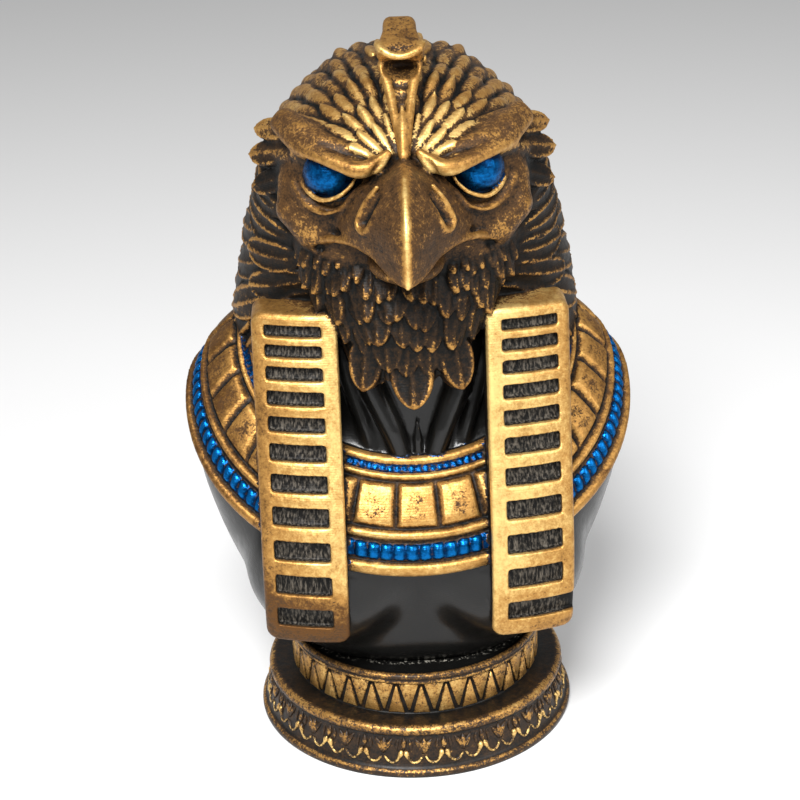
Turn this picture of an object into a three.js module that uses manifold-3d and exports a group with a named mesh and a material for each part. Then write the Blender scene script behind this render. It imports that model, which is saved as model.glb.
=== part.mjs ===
// A falcon-headed bust in the ancient Egyptian manner: a small painted casting on its own round stepped plinth.
// Millimetres, +Z up, the face looks towards -Y. The origin is the middle of the plinth's underside.
import * as THREE from 'three';
import { mergeVertices } from 'three/addons/utils/BufferGeometryUtils.js';
import Module from 'manifold-3d';

const wasm = await Module();
wasm.setup();

// Plinth, by height above the ground and radius
const PLINTH_SIDES = 40;
const FOOT_RADIUS = 33.6;
const FOOT_EDGE = 1.3;
const FRIEZE_FOOT = 1.7;
const FRIEZE_FOOT_RADIUS = 33;
const FRIEZE_WAIST_RADIUS = 31.6;
const FRIEZE_TOP = 8.6;
const RIM_RADIUS = 31.7;
const RIM_THICKNESS = 2.2;
const LEDGE_HEIGHT = 10.7;
const DRUM_RADIUS = 26.6;
const BEAD_FOOT = 18.7;
const BEAD_TOP = 20.2;
const BEAD_RADIUS = 26.9;
const DISC_RADIUS = 25.5;
const DISC_HEIGHT = 19.6;
const DISC_LIP = 0.4;
const DRUM_TRIANGLES = 32;
const GROOVE_FOOT = 11.2;
const GROOVE_CLIMB = 4.8;
const GROOVE_WIDTH = 1.6;
const GROOVE_DEPTH = 0.6;
const BUDS = 24;
const BUD_FOOT = 4.2;
const BUD_TOP = 7.8;
const BUD_SHARES = [0.1, 0.3];
const BUD_RISE = 0.5;

// Torso, as rings of [height, half width, front, back]
const TORSO_RINGS = [
  [19.9, 24.4, -20.5, 21], [22.5, 28.5, -22, 23], [26, 31, -23, 25], [30, 33.3, -23.5, 26.5],
  [36, 36, -24.5, 28], [48, 40.6, -26, 30], [59, 43.4, -25, 31], [67, 43.6, -21, 31],
  [72, 41, -18, 30], [77, 36, -16, 28], [84, 29, -14, 26], [90, 22, -12, 22],
];
const TORSO_SQUARENESS = 2.3;
const CHEST_SIDE = 16.5;
const CHEST_CENTRE = [-14, 41.5];
const CHEST_RADII = [18, 17.5, 17.5];
const NECK_RINGS = [[60, 24, -21, 20], [70, 21, -20.5, 20], [80, 19, -20, 22], [95, 20, -20, 24]];
const TENDON_FOOT = { x: 1.8, y: -23, z: 68 };
const TENDON_TOP = { x: 9.5, y: -22, z: 88 };
const TENDON_HALF_WIDTH = 1.1;

// Broad collar, as two tilted ovals with the rows of ornament between them
const COLLAR_INNER = { halfWidth: 30, halfDepth: 22, side: 86, frontDrop: 19, backDrop: 17 };
const COLLAR_OUTER = { halfWidth: 45, halfDepth: 32.4, side: 71, frontDrop: 25, backDrop: 31 };
const COLLAR_BULGE = 1.6;
const COLLAR_BURIED = 6.5;
const COLLAR_BASE = 0.2;
const COLLAR_RIM_RISE = 1.2;
const COLLAR_BAND_RISE = 0.6;
const COLLAR_STEPS = [
  [0, COLLAR_RIM_RISE], [0.203, COLLAR_RIM_RISE], [0.215, COLLAR_BASE], [0.62, COLLAR_BASE],
  [0.634, COLLAR_RIM_RISE], [0.7, COLLAR_RIM_RISE], [0.71, COLLAR_BAND_RISE], [0.885, COLLAR_BAND_RISE],
  [0.894, COLLAR_RIM_RISE], [1, COLLAR_RIM_RISE],
];
const COLLAR_TILES = 30;
const TILE_FROM = 0.245;
const TILE_TO = 0.59;
const TILE_SHARE = 0.84;
const TILE_RISE = 1.1;

// Lappets, the two striped bands that hang over the chest
const LAPPET_TOP = 97;
const LAPPET_FOOT = 32.3;
const LAPPET_INNER = 13.9;
const LAPPET_OUTER = 30.3;
const LAPPET_WRAP = 3.5;
const LAPPET_THICKNESS = 9;
const LAPPET_FRONT = [[32.3, -33.6], [40, -35.3], [50, -35], [60, -32.5], [71, -29.2], [81, -26.8], [97, -22.5]];
const LAPPET_STEPS = 14;
const LAPPET_CORNER = 2.6;
const SLOT_COUNT = 11;
const SLOT_FIRST = 93.7;
const SLOT_PITCH = 3.52;
const SLOT_PITCH_GROWTH = 0.2;
const SLOT_HEIGHT_SHARE = 0.55;
const SLOT_EDGES = [0.18, 0.86];
const SLOT_DEPTH = 1.6;

// Head: crown and mane as rings, and the smooth face in front of them
const HEAD_TURN = THREE.MathUtils.degToRad(-1.7);
const MANE_RINGS = [
  [76, 30, -13, 30], [84, 34.5, -14, 32], [91, 34, -16, 33], [100, 32.5, -17.5, 33.5], [110, 30, -20, 33.5],
  [118, 28, -24, 32.5], [125, 26, -27.5, 31], [129, 23.8, -26.8, 29], [132, 21, -23.5, 27],
  [135.5, 17, -18, 24], [138.8, 11, -11, 19], [140.8, 4.5, -3, 12],
];
const MANE_SQUARENESS = 2.5;
const FACE_RINGS = [
  [101, 15, -22, 10], [105.7, 19.8, -26, 10], [110, 21.3, -27, 10], [115.7, 22.7, -27.2, 10],
  [122, 23, -26.8, 10], [128, 22, -25.5, 10], [132, 18, -21, 10],
];
const BEARD_RINGS = [[83, 4, -25.5, -5], [86, 9, -27.5, -5], [91, 12.5, -29, -5], [97, 16, -29, -5],
  [103, 19.5, -28, -5], [110, 21, -26, -5]];
const HEAD_CENTRE = new THREE.Vector3(0, 3, 112);
const MANE_ROWS = 8;
const MANE_FEATHERS = 20;
const MANE_EDGE = { front: 29, side: 54, below: 46 };
const MANE_END = 176;
const MANE_CROWDING = 1.15;
const MANE_DROOP = 70;
const FEATHER_RISE = 2;
const BEARD_ROWS = 5;
const BEARD_LEAVES = 16;
const BEARD_LEAF_RISE = 1.8;
const TIP_LEAVES = [
  { root: [0, -26.5, 93], tip: [0, -30, 81.2], halfWidth: 4.6 },
  { root: [7.5, -24.5, 93], tip: [10.6, -26.4, 83.6], halfWidth: 3.8 },
];
const TUFT_CENTRE = [26.8, -1, 122];
const TUFT_RADII = [2.8, 6, 5];

// Brow: lower edge from the beak's root to the outer end, as [x, y, z]
const BROW_EDGE = [[2.6, -31.3, 127], [7.5, -31.6, 124.4], [13, -28.6, 125.2], [17.6, -24.4, 126.6],
  [21, -20, 128.2], [24, -15, 130.6]];
const BROW_HEIGHT = 3.6;
const BROW_DEPTH = 8;
const EYE_CENTRE = [14.3, -20.9, 123.2];
const EYE_RADIUS = 5;
const EYELID_RADII = [5.2, 4.4];
const EYELID_WIDTH = 1.4;
const EYELID_REACH = 4.8;
const CHEEK_CENTRE = [16.8, -18, 115.4];
const CHEEK_RADII = [5.2, 6.2, 5];

// Beak: the ridge runs down the middle as [y, z], and the cutting edge along the mouth
const BEAK_RIDGE = [[-27.5, 128.4], [-34, 127.9], [-38.5, 126.1], [-42, 123.8], [-44.8, 120.6], [-46.3, 115.8],
  [-46.3, 109.6]];
const BEAK_EDGE = [[12.5, -24.5, 115.2], [10.6, -29.5, 113.8], [8.4, -33.5, 113.4], [6.2, -36.5, 112.6],
  [4.2, -39.8, 111.2], [2.2, -43.3, 110.2], [0.4, -45.9, 109.5]];
const LIP_PATH = [[16.4, -22, 112], [13.2, -27.3, 113.2], [10.1, -31.3, 114], [7.2, -34.8, 113.4]];
const NOSTRIL_TOP = [4.4, -34.6, 124.5];
const NOSTRIL_FOOT = [7.2, -34, 118.7];

// Cobra over the brow
const COBRA_TOP = 150;
const COBRA_HOOD = [[-27.5, 128, 1.2], [-24.5, 133, 2.2], [-19.5, 138, 3.4], [-15.5, 143.2, 4.4]];
const COBRA_HEAD = { halfWidth: 4.1, topHalfWidth: 3.4, lip: -17.5, topFront: -14, back: -4, foot: 143 };
const COBRA_BACK = { front: -13, length: 29, top: 145.5, foot: 136, halfWidth: 6, ridgeHalfWidth: 2.2 };

// A closed body from an indexed geometry, with its faces turned outwards
function bodyOf(geometry) {
  const vertProperties = new Float32Array(geometry.attributes.position.array);
  const triVerts = new Uint32Array(geometry.index.array);
  const body = new wasm.Manifold(new wasm.Mesh({ numProp: 3, vertProperties, triVerts }));
  if (body.volume() > 0) return body;
  return new wasm.Manifold(new wasm.Mesh({ numProp: 3, vertProperties, triVerts: triVerts.reverse() }));
}

// The same from one of the basic shapes, whose shared corners are merged first
function solid(geometry) {
  geometry.deleteAttribute('normal');
  geometry.deleteAttribute('uv');
  return bodyOf(mergeVertices(geometry, 1e-4));
}

function join(solids) {
  return solids.reduce((whole, next) => whole.add(next));
}

function geometryOf(body) {
  const mesh = body.getMesh();
  const geometry = new THREE.BufferGeometry();
  geometry.setAttribute('position', new THREE.BufferAttribute(mesh.vertProperties, 3));
  geometry.setIndex(new THREE.BufferAttribute(mesh.triVerts, 1));
  geometry.computeVertexNormals();
  return geometry;
}

// Moves every corner of a geometry to where place() puts it
function warp(geometry, place) {
  const position = geometry.attributes.position;
  const corner = new THREE.Vector3();
  for (let i = 0; i < position.count; i += 1) {
    corner.fromBufferAttribute(position, i);
    const moved = place(corner);
    position.setXYZ(i, moved.x, moved.y, moved.z);
  }
  return geometry;
}

function point(values) {
  return new THREE.Vector3(values[0], values[1], values[2]);
}

// The row of a table between two of its rows, by the number in its first column
function between(rows, key) {
  const last = rows.length - 1;
  const clamped = THREE.MathUtils.clamp(key, rows[0][0], rows[last][0]);
  const next = Math.max(1, rows.findIndex((row) => row[0] >= clamped));
  const share = (clamped - rows[next - 1][0]) / (rows[next][0] - rows[next - 1][0]);
  return rows[next].map((value, i) => THREE.MathUtils.lerp(rows[next - 1][i], value, share));
}

// A row's point along a list of points, share 0 at its start and 1 at its end
function along(points, share) {
  const scaled = THREE.MathUtils.clamp(share, 0, 1) * (points.length - 1);
  const first = Math.min(Math.floor(scaled), points.length - 2);
  return points[first].map((value, i) => THREE.MathUtils.lerp(value, points[first + 1][i], scaled - first));
}

// How far round a squared oval a direction reaches, with half axes of 1
function ovalReach(cosine, sine, squareness) {
  return (Math.abs(cosine) ** squareness + Math.abs(sine) ** squareness) ** (-1 / squareness);
}

// A body built of level rings, each [height, half width, front, back]
function ringBody(rings, squareness, sides) {
  const cylinder = new THREE.CylinderGeometry(1, 1, 1, sides, rings.length - 1);
  return solid(warp(cylinder, (corner) => {
    const [height, halfWidth, front, back] = along(rings, corner.y + 0.5);
    const reach = Math.hypot(corner.x, corner.z) < 0.1 ? 0 : ovalReach(corner.x, corner.z, squareness);
    const angle = Math.atan2(corner.x, corner.z);
    const halfDepth = (back - front) / 2;
    return new THREE.Vector3(
      Math.sin(angle) * reach * halfWidth,
      (front + back) / 2 - Math.cos(angle) * reach * halfDepth,
      height,
    );
  }));
}

// A bar of square section: place(share along, side -1 or 1, level 0 or 1) gives each corner
function bar(steps, place) {
  const box = new THREE.BoxGeometry(1, 1, 1, steps, 1, 1);
  return solid(warp(box, (corner) => place(corner.x + 0.5, corner.y * 2, corner.z + 0.5)));
}

function ball(centre, radii, around, rows) {
  const sphere = new THREE.SphereGeometry(1, around, rows);
  sphere.rotateX(Math.PI / 2);
  return solid(warp(sphere, (corner) => corner.multiply(point(radii)).add(point(centre))));
}

function mirrored(body) {
  return bodyOf(geometryOf(body).scale(-1, 1, 1));
}

function bothSides(body) {
  return [body, mirrored(body)];
}

// A closed surface of overlapping feathers in rows, each with a raised middle and a tip that stands proud.
// place(share, turn, rise) puts a corner: share runs from the first row's roots to the last row's tips
function plumage(rows, around, start, end, place) {
  const stages = rows * 3 + 1;
  const columns = around * 2;
  const sphere = new THREE.SphereGeometry(1, columns, stages);
  return solid(warp(sphere, (corner) => {
    const stage = Math.round((Math.acos(THREE.MathUtils.clamp(corner.y, -1, 1)) / Math.PI) * stages);
    if (stage === 0) return start.clone();
    if (stage === stages) return end.clone();
    const column = Math.round((Math.atan2(corner.z, -corner.x) / (2 * Math.PI)) * columns);
    const row = Math.floor((stage - 1) / 3);
    const part = (stage - 1) % 3;
    const inMiddle = (column + row) % 2 === 0;
    const underTip = inMiddle ? -0.16 : 0.16;
    const shares = [0.06 + (row > 0 ? underTip : 0), 0.5, 1 - underTip];
    const rises = inMiddle ? [0, 0.7, 1] : [-0.1, 0, 0.25];
    return place((row + shares[part]) / rows, (column / columns) * 2 * Math.PI, rises[part]);
  }));
}

// A pointed leaf with a raised midrib, from its root to its tip
function leaf({ root, tip, halfWidth }, thickness) {
  return bar(2, (share, side, level) => {
    const middle = point(root).lerp(point(tip), share);
    const wide = [0.75, 1, 0.12][Math.round(share * 2)];
    middle.x += side * halfWidth * wide;
    middle.y += (level ? 0 : thickness) + Math.abs(side) * 0.6;
    return middle;
  });
}

function turned(outline) {
  const points = outline.map(([radius, height]) => new THREE.Vector2(radius, height));
  const lathe = new THREE.LatheGeometry(points, PLINTH_SIDES);
  lathe.rotateX(Math.PI / 2);
  return solid(lathe);
}

function plinth() {
  const out = RIM_THICKNESS / 2;
  const rimMiddle = LEDGE_HEIGHT - out;
  const foot = turned([
    [0, 0], [FOOT_RADIUS, 0], [FOOT_RADIUS, FOOT_EDGE], [FRIEZE_FOOT_RADIUS, FRIEZE_FOOT],
    [FRIEZE_WAIST_RADIUS, FRIEZE_TOP], [RIM_RADIUS, rimMiddle - out / 2], [RIM_RADIUS, rimMiddle + out / 2],
    [RIM_RADIUS - out, LEDGE_HEIGHT], [0, LEDGE_HEIGHT],
  ]);
  const bead = turned([
    [0, BEAD_FOOT], [BEAD_RADIUS, BEAD_FOOT], [BEAD_RADIUS, BEAD_TOP - DISC_LIP],
    [BEAD_RADIUS - DISC_LIP, BEAD_TOP], [DISC_RADIUS + DISC_LIP, BEAD_TOP], [DISC_RADIUS, DISC_HEIGHT],
    [0, DISC_HEIGHT],
  ]);
  return join([foot, drum(), bead, ...buds()]);
}

// A point on the plinth: angle from the front, height, and distance from the axis
function round(angle, height, radius) {
  return new THREE.Vector3(radius * Math.sin(angle), -radius * Math.cos(angle), height);
}

// The upper drum, with a groove that runs up and down all round it and leaves triangles on either side
function drum() {
  const columns = DRUM_TRIANGLES * 2;
  const levels = [
    [LEDGE_HEIGHT - 0.2, 0, 0],
    [GROOVE_FOOT, GROOVE_CLIMB, 0],
    [GROOVE_FOOT + GROOVE_WIDTH / 2, GROOVE_CLIMB, -GROOVE_DEPTH],
    [GROOVE_FOOT + GROOVE_WIDTH, GROOVE_CLIMB, 0],
    [BEAD_FOOT + 0.2, 0, 0],
  ];
  const tube = new THREE.CylinderGeometry(1, 1, 1, columns, levels.length - 1);
  return solid(warp(tube, (corner) => {
    const [height, climb, rise] = levels[Math.round((corner.y + 0.5) * (levels.length - 1))];
    if (Math.hypot(corner.x, corner.z) < 0.1) return new THREE.Vector3(0, 0, height);
    const column = Math.round((Math.atan2(corner.x, corner.z) / (2 * Math.PI)) * columns);
    const onTop = column % 2 !== 0;
    return round((column / columns) * 2 * Math.PI, height + (onTop ? climb : 0), DRUM_RADIUS + rise);
  }));
}

// The buds of the foot's frieze, one above each of its hanging loops
function buds() {
  const pitch = (2 * Math.PI) / BUDS;
  const reliefs = [];
  for (let i = 0; i < BUDS; i += 1) {
    reliefs.push(bar(1, (share, side, level) => {
      const height = THREE.MathUtils.lerp(BUD_FOOT, BUD_TOP, share);
      const face = THREE.MathUtils.mapLinear(
        height, FRIEZE_FOOT, FRIEZE_TOP, FRIEZE_FOOT_RADIUS, FRIEZE_WAIST_RADIUS,
      );
      const angle = (i + side * BUD_SHARES[share]) * pitch;
      return round(angle, height, face + (level ? BUD_RISE : -1));
    }));
  }
  return reliefs;
}

// A point of the collar: angle from the front, share from the inner to the outer edge, and height above it
function collarPoint(angle, share, rise) {
  const front = Math.cos(angle);
  const edge = (oval) => new THREE.Vector3(
    oval.halfWidth * Math.sin(angle),
    -oval.halfDepth * front,
    oval.side - oval.frontDrop * front - (front < 0 ? oval.backDrop * front * front : 0),
  );
  const inner = edge(COLLAR_INNER);
  const outer = edge(COLLAR_OUTER);
  const across = outer.clone().sub(inner);
  const level = new THREE.Vector3(Math.cos(angle), Math.sin(angle), 0);
  const outward = new THREE.Vector3().crossVectors(across, level).normalize();
  return inner.addScaledVector(across, share)
    .addScaledVector(outward, rise + COLLAR_BULGE * Math.sin(Math.PI * share));
}

function collar() {
  const section = [[0, -COLLAR_BURIED], ...COLLAR_STEPS, [1, -COLLAR_BURIED * 0.6], [0, -COLLAR_BURIED]];
  const points = section.map(([share, rise]) => new THREE.Vector2(10 + share, rise));
  const pitch = (2 * Math.PI) / COLLAR_TILES;
  const band = new THREE.LatheGeometry(points.reverse(), COLLAR_TILES, pitch / 2);
  const ring = solid(warp(band, (corner) => {
    const share = Math.hypot(corner.x, corner.z) - 10;
    return collarPoint(Math.atan2(corner.x, corner.z), share, corner.y);
  }));
  const tiles = [];
  for (let i = 0; i < COLLAR_TILES; i += 1) {
    tiles.push(bar(1, (share, side, level) => collarPoint(
      i * pitch + (side * pitch * TILE_SHARE) / 2,
      THREE.MathUtils.lerp(TILE_FROM, TILE_TO, share),
      level ? TILE_RISE : -1,
    )));
  }
  return join([ring, ...tiles]);
}

// A point of the right lappet: height, share from its inner to its outer edge, and depth behind its face
function lappetPoint(height, share, depth) {
  const [, front] = between(LAPPET_FRONT, height);
  return new THREE.Vector3(
    THREE.MathUtils.lerp(LAPPET_INNER, LAPPET_OUTER, share),
    front + LAPPET_WRAP * share * share + depth,
    height,
  );
}

function lappet(brokenFoot) {
  const slab = bar(LAPPET_STEPS, (share, side, level) => {
    const height = THREE.MathUtils.lerp(LAPPET_FOOT, LAPPET_TOP, share);
    const corner = share === 0 ? LAPPET_CORNER / (LAPPET_OUTER - LAPPET_INNER) : 0;
    const across = side < 0 ? corner : 1 - corner;
    return lappetPoint(height, across, level ? 0 : LAPPET_THICKNESS);
  });
  const slots = [];
  for (let i = 0; i < SLOT_COUNT; i += 1) {
    const middle = SLOT_FIRST - i * SLOT_PITCH - i * i * SLOT_PITCH_GROWTH;
    const halfHeight = ((SLOT_PITCH + (2 * i + 1) * SLOT_PITCH_GROWTH) * SLOT_HEIGHT_SHARE) / 2;
    const last = i === SLOT_COUNT - 1;
    slots.push(bar(1, (share, side, level) => lappetPoint(
      middle + (share * 2 - 1) * halfHeight,
      side < 0 ? SLOT_EDGES[0] : SLOT_EDGES[1] + (last && brokenFoot ? 0.2 : 0),
      level ? -3 : SLOT_DEPTH,
    )));
  }
  return slab.subtract(join(slots));
}

function torso() {
  const chest = ball([CHEST_SIDE, ...CHEST_CENTRE], CHEST_RADII, 12, 6);
  const tendon = bar(2, (share, side, level) => {
    const across = THREE.MathUtils.lerp(TENDON_FOOT.x, TENDON_TOP.x, share);
    const front = THREE.MathUtils.lerp(TENDON_FOOT.y, TENDON_TOP.y, share);
    return new THREE.Vector3(
      across + side * TENDON_HALF_WIDTH * (level ? 0.3 : 1),
      level ? front : front + 6,
      THREE.MathUtils.lerp(TENDON_FOOT.z, TENDON_TOP.z, share),
    );
  });
  return join([
    ringBody(TORSO_RINGS, TORSO_SQUARENESS, 22),
    ringBody(NECK_RINGS, 2, 12),
    ...bothSides(chest),
    ...bothSides(tendon),
  ]);
}

// Where a ray from the head's centre leaves the crown and mane
function headSkin(direction) {
  const foot = MANE_RINGS[0][0];
  const top = MANE_RINGS[MANE_RINGS.length - 1][0];
  let near = 0;
  let far = 60;
  for (let i = 0; i < 24; i += 1) {
    const middle = (near + far) / 2;
    const place = HEAD_CENTRE.clone().addScaledVector(direction, middle);
    const [, halfWidth, front, back] = between(MANE_RINGS, place.z);
    const deep = (place.y - (front + back) / 2) / ((back - front) / 2);
    const wide = place.x / halfWidth;
    const inOval = Math.abs(wide) ** MANE_SQUARENESS + Math.abs(deep) ** MANE_SQUARENESS < 1;
    if (inOval && place.z > foot && place.z < top) near = middle;
    else far = middle;
  }
  return HEAD_CENTRE.clone().addScaledVector(direction, near);
}

// The way the feathers lie: from the edge of the face back over the head, and then down to the nape
function maneDirection(share, turn) {
  const sideways = Math.abs(Math.atan2(Math.sin(turn), Math.cos(turn)));
  const { front, side, below } = MANE_EDGE;
  const edge = front + (side - front) * THREE.MathUtils.smoothstep(sideways, 0.42, 0.9)
    + (below - side) * THREE.MathUtils.smoothstep(sideways, 1.2, 1.9);
  const polar = THREE.MathUtils.degToRad(THREE.MathUtils.lerp(edge, MANE_END, share ** MANE_CROWDING));
  const direction = new THREE.Vector3(
    Math.sin(polar) * Math.sin(turn),
    -Math.cos(polar),
    Math.sin(polar) * Math.cos(turn),
  );
  const droop = MANE_DROOP * Math.max(0, THREE.MathUtils.inverseLerp(0.7, Math.PI, polar));
  return direction.applyAxisAngle(new THREE.Vector3(1, 0, 0), -THREE.MathUtils.degToRad(droop));
}

// Crown, sides and nape in rows of feathers, the first rows the smallest
function mane() {
  const start = HEAD_CENTRE.clone().add(new THREE.Vector3(0, -24, 0));
  const end = headSkin(maneDirection(1, Math.PI)).lerp(headSkin(maneDirection(1, 0)), 0.5);
  return plumage(MANE_ROWS, MANE_FEATHERS, start, end, (share, turn, rise) => {
    const direction = maneDirection(Math.min(share, 1), turn);
    const size = FEATHER_RISE * THREE.MathUtils.lerp(0.5, 1, Math.min(1, share * 2));
    return headSkin(direction).addScaledVector(direction, (rise - 0.3) * size);
  });
}

// Overlapping leaves that hang below the cheeks and the beak, and end in a point
function beard() {
  const foot = BEARD_RINGS[0];
  const top = BEARD_RINGS[BEARD_RINGS.length - 1];
  const middleOf = ([height, , front, back]) => new THREE.Vector3(0, (front + back) / 2, height);
  const leaves = plumage(BEARD_ROWS, BEARD_LEAVES, middleOf(top), middleOf(foot), (share, turn, rise) => {
    const [height, halfWidth, front, back] = between(BEARD_RINGS, THREE.MathUtils.lerp(top[0], foot[0], share));
    const out = (rise - 0.2) * BEARD_LEAF_RISE;
    return new THREE.Vector3(
      Math.sin(turn) * (halfWidth + out),
      (front + back) / 2 - Math.cos(turn) * ((back - front) / 2 + out),
      height,
    );
  });
  const [middleTip, sideTip] = TIP_LEAVES;
  return join([leaves, leaf(middleTip, 8), ...bothSides(leaf(sideTip, 8))]);
}

function brow() {
  return bar(BROW_EDGE.length - 1, (share, side, level) => {
    const edge = point(along(BROW_EDGE, share));
    if (side > 0) {
      edge.x -= 3 * share;
      edge.y += BROW_DEPTH;
    }
    edge.y += level * BROW_HEIGHT * 0.75;
    edge.z += level * BROW_HEIGHT;
    return edge;
  });
}

// The half ring of the lower lid under an eye
function eyelid() {
  return bar(5, (share, side, level) => {
    const angle = THREE.MathUtils.degToRad(THREE.MathUtils.lerp(185, 360, share));
    const wide = Math.cos(angle);
    const out = side > 0 ? EYELID_WIDTH : 0;
    const towardsCheek = wide > 0 ? 3 * wide : 1.2 * wide;
    return new THREE.Vector3(
      EYE_CENTRE[0] + wide * (EYELID_RADII[0] + out),
      EYE_CENTRE[1] - (level ? EYELID_REACH - 0.6 * out : 0) + towardsCheek,
      EYE_CENTRE[2] + Math.sin(angle) * (EYELID_RADII[1] + out),
    );
  });
}

function beak() {
  const stages = BEAK_RIDGE.length - 1;
  const cone = new THREE.CylinderGeometry(1, 1, 1, 8, stages);
  const hook = solid(warp(cone, (corner) => {
    const share = 0.5 - corner.y;
    const [ridgeY, ridgeZ] = along(BEAK_RIDGE, share);
    const [edgeX, edgeY, edgeZ] = along(BEAK_EDGE, share);
    const middle = new THREE.Vector3(0, (ridgeY + edgeY) / 2 + 1.2 * (1 - share), (ridgeZ + edgeZ) / 2);
    if (Math.hypot(corner.x, corner.z) < 0.1) return middle;
    const step = Math.round((Math.atan2(corner.x, corner.z) / Math.PI) * 4);
    const side = Math.sign(step);
    const places = {
      0: [0, ridgeY, ridgeZ],
      1: [edgeX * 0.4, THREE.MathUtils.lerp(ridgeY, edgeY, 0.14), THREE.MathUtils.lerp(ridgeZ, edgeZ, 0.2)],
      2: [edgeX * 0.88, THREE.MathUtils.lerp(ridgeY, edgeY, 0.75), THREE.MathUtils.lerp(ridgeZ, edgeZ, 0.64)],
      3: [edgeX, edgeY, edgeZ],
      4: [0, edgeY + 1.5 * (1 - share), edgeZ - 0.3],
    };
    const [x, y, z] = places[Math.abs(step)];
    return new THREE.Vector3(x * side, y, z);
  }));
  const lip = bar(3, (share, side, level) => {
    const path = point(along(LIP_PATH, share));
    path.z += side * 0.9 + 0.3;
    path.y += level ? -0.9 + 0.5 * side : 6;
    return path;
  });
  const flange = bar(2, (share, side, level) => {
    const path = point(NOSTRIL_TOP).lerp(point(NOSTRIL_FOOT), share);
    path.x += 0.9 + side * 0.5;
    path.y += level ? -0.7 + share * 0.6 : 3;
    return path;
  });
  const slit = bar(1, (share, side, level) => {
    const path = point(NOSTRIL_TOP).lerp(point(NOSTRIL_FOOT), 0.15 + share * 0.7);
    path.x += side * 0.45 - 0.35;
    path.y += level ? -4 : 1;
    return path;
  });
  return join([hook, ...bothSides(lip), ...bothSides(flange)]).subtract(join(bothSides(slit)));
}

function cobra() {
  const hood = bar(COBRA_HOOD.length - 1, (share, side, level) => {
    const [y, z, halfWidth] = along(COBRA_HOOD, share);
    return new THREE.Vector3(side * halfWidth, level ? y : y + 6, level ? z : z - 2);
  });
  const ribs = [-1, 1].map((half) => bar(COBRA_HOOD.length - 1, (share, side, level) => {
    const [y, z, halfWidth] = along(COBRA_HOOD, share);
    return new THREE.Vector3(half * halfWidth + side * 0.5, level ? y - 1 : y + 6, level ? z + 0.4 : z - 2);
  }));
  const head = bar(2, (share, side, level) => {
    const { halfWidth, topHalfWidth, lip, topFront, back, foot } = COBRA_HEAD;
    const wide = level ? topHalfWidth : halfWidth;
    const front = level ? topFront : lip;
    return new THREE.Vector3(
      side * wide * (1 - 0.12 * share),
      THREE.MathUtils.lerp(front, back, share),
      level ? COBRA_TOP - share * 1.6 : foot + share * 1.5,
    );
  });
  const backRidge = bar(3, (share, side, level) => new THREE.Vector3(
    side * (level ? COBRA_BACK.ridgeHalfWidth : COBRA_BACK.halfWidth) * (1 - 0.5 * share),
    COBRA_BACK.front + share * COBRA_BACK.length,
    level ? COBRA_BACK.top - 5.5 * share - 3 * share * share : COBRA_BACK.foot,
  ));
  return join([hood, ...ribs, head, backRidge]);
}

function head() {
  const eye = ball(EYE_CENTRE, [EYE_RADIUS, EYE_RADIUS, EYE_RADIUS], 10, 7);
  const cheek = ball(CHEEK_CENTRE, CHEEK_RADII, 10, 6);
  const tuft = ball(TUFT_CENTRE, TUFT_RADII, 10, 6);
  const facingFront = join([
    mane(),
    ringBody(FACE_RINGS, 2.6, 16),
    beard(),
    ...bothSides(brow()),
    ...bothSides(eye),
    ...bothSides(cheek),
    ...bothSides(eyelid()),
    ...bothSides(tuft),
    beak(),
    cobra(),
  ]);
  return bodyOf(geometryOf(facingFront).rotateZ(HEAD_TURN));
}

function named(name, geometry, material) {
  const mesh = new THREE.Mesh(geometry, material);
  mesh.name = name;
  return mesh;
}

const castBody = join([torso(), collar(), lappet(true), mirrored(lappet(false)), head()]);
const darkGold = new THREE.MeshStandardMaterial({ color: 0x5a4426, roughness: 0.45, metalness: 0.4 });
const bronze = new THREE.MeshStandardMaterial({ color: 0x4c3a20, roughness: 0.5, metalness: 0.4 });

const figure = new THREE.Group();
figure.add(named('bust', geometryOf(castBody), darkGold));
figure.add(named('plinth', geometryOf(plinth()), bronze));
export default figure;
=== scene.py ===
import math

import bmesh
import bpy
import numpy as np
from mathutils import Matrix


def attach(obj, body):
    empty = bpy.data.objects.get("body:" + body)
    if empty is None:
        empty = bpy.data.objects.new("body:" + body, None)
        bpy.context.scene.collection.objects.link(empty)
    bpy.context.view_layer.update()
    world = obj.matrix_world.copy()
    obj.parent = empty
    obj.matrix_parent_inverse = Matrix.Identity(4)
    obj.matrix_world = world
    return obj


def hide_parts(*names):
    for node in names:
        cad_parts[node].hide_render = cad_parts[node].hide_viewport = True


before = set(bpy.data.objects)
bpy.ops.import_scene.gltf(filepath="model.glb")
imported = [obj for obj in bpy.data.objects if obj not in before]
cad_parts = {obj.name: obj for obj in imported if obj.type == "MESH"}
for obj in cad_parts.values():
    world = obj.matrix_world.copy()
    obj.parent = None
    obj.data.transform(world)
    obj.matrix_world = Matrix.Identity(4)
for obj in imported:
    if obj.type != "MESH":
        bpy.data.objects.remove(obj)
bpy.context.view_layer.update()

import openvdb
from mathutils import Matrix, Vector

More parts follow.
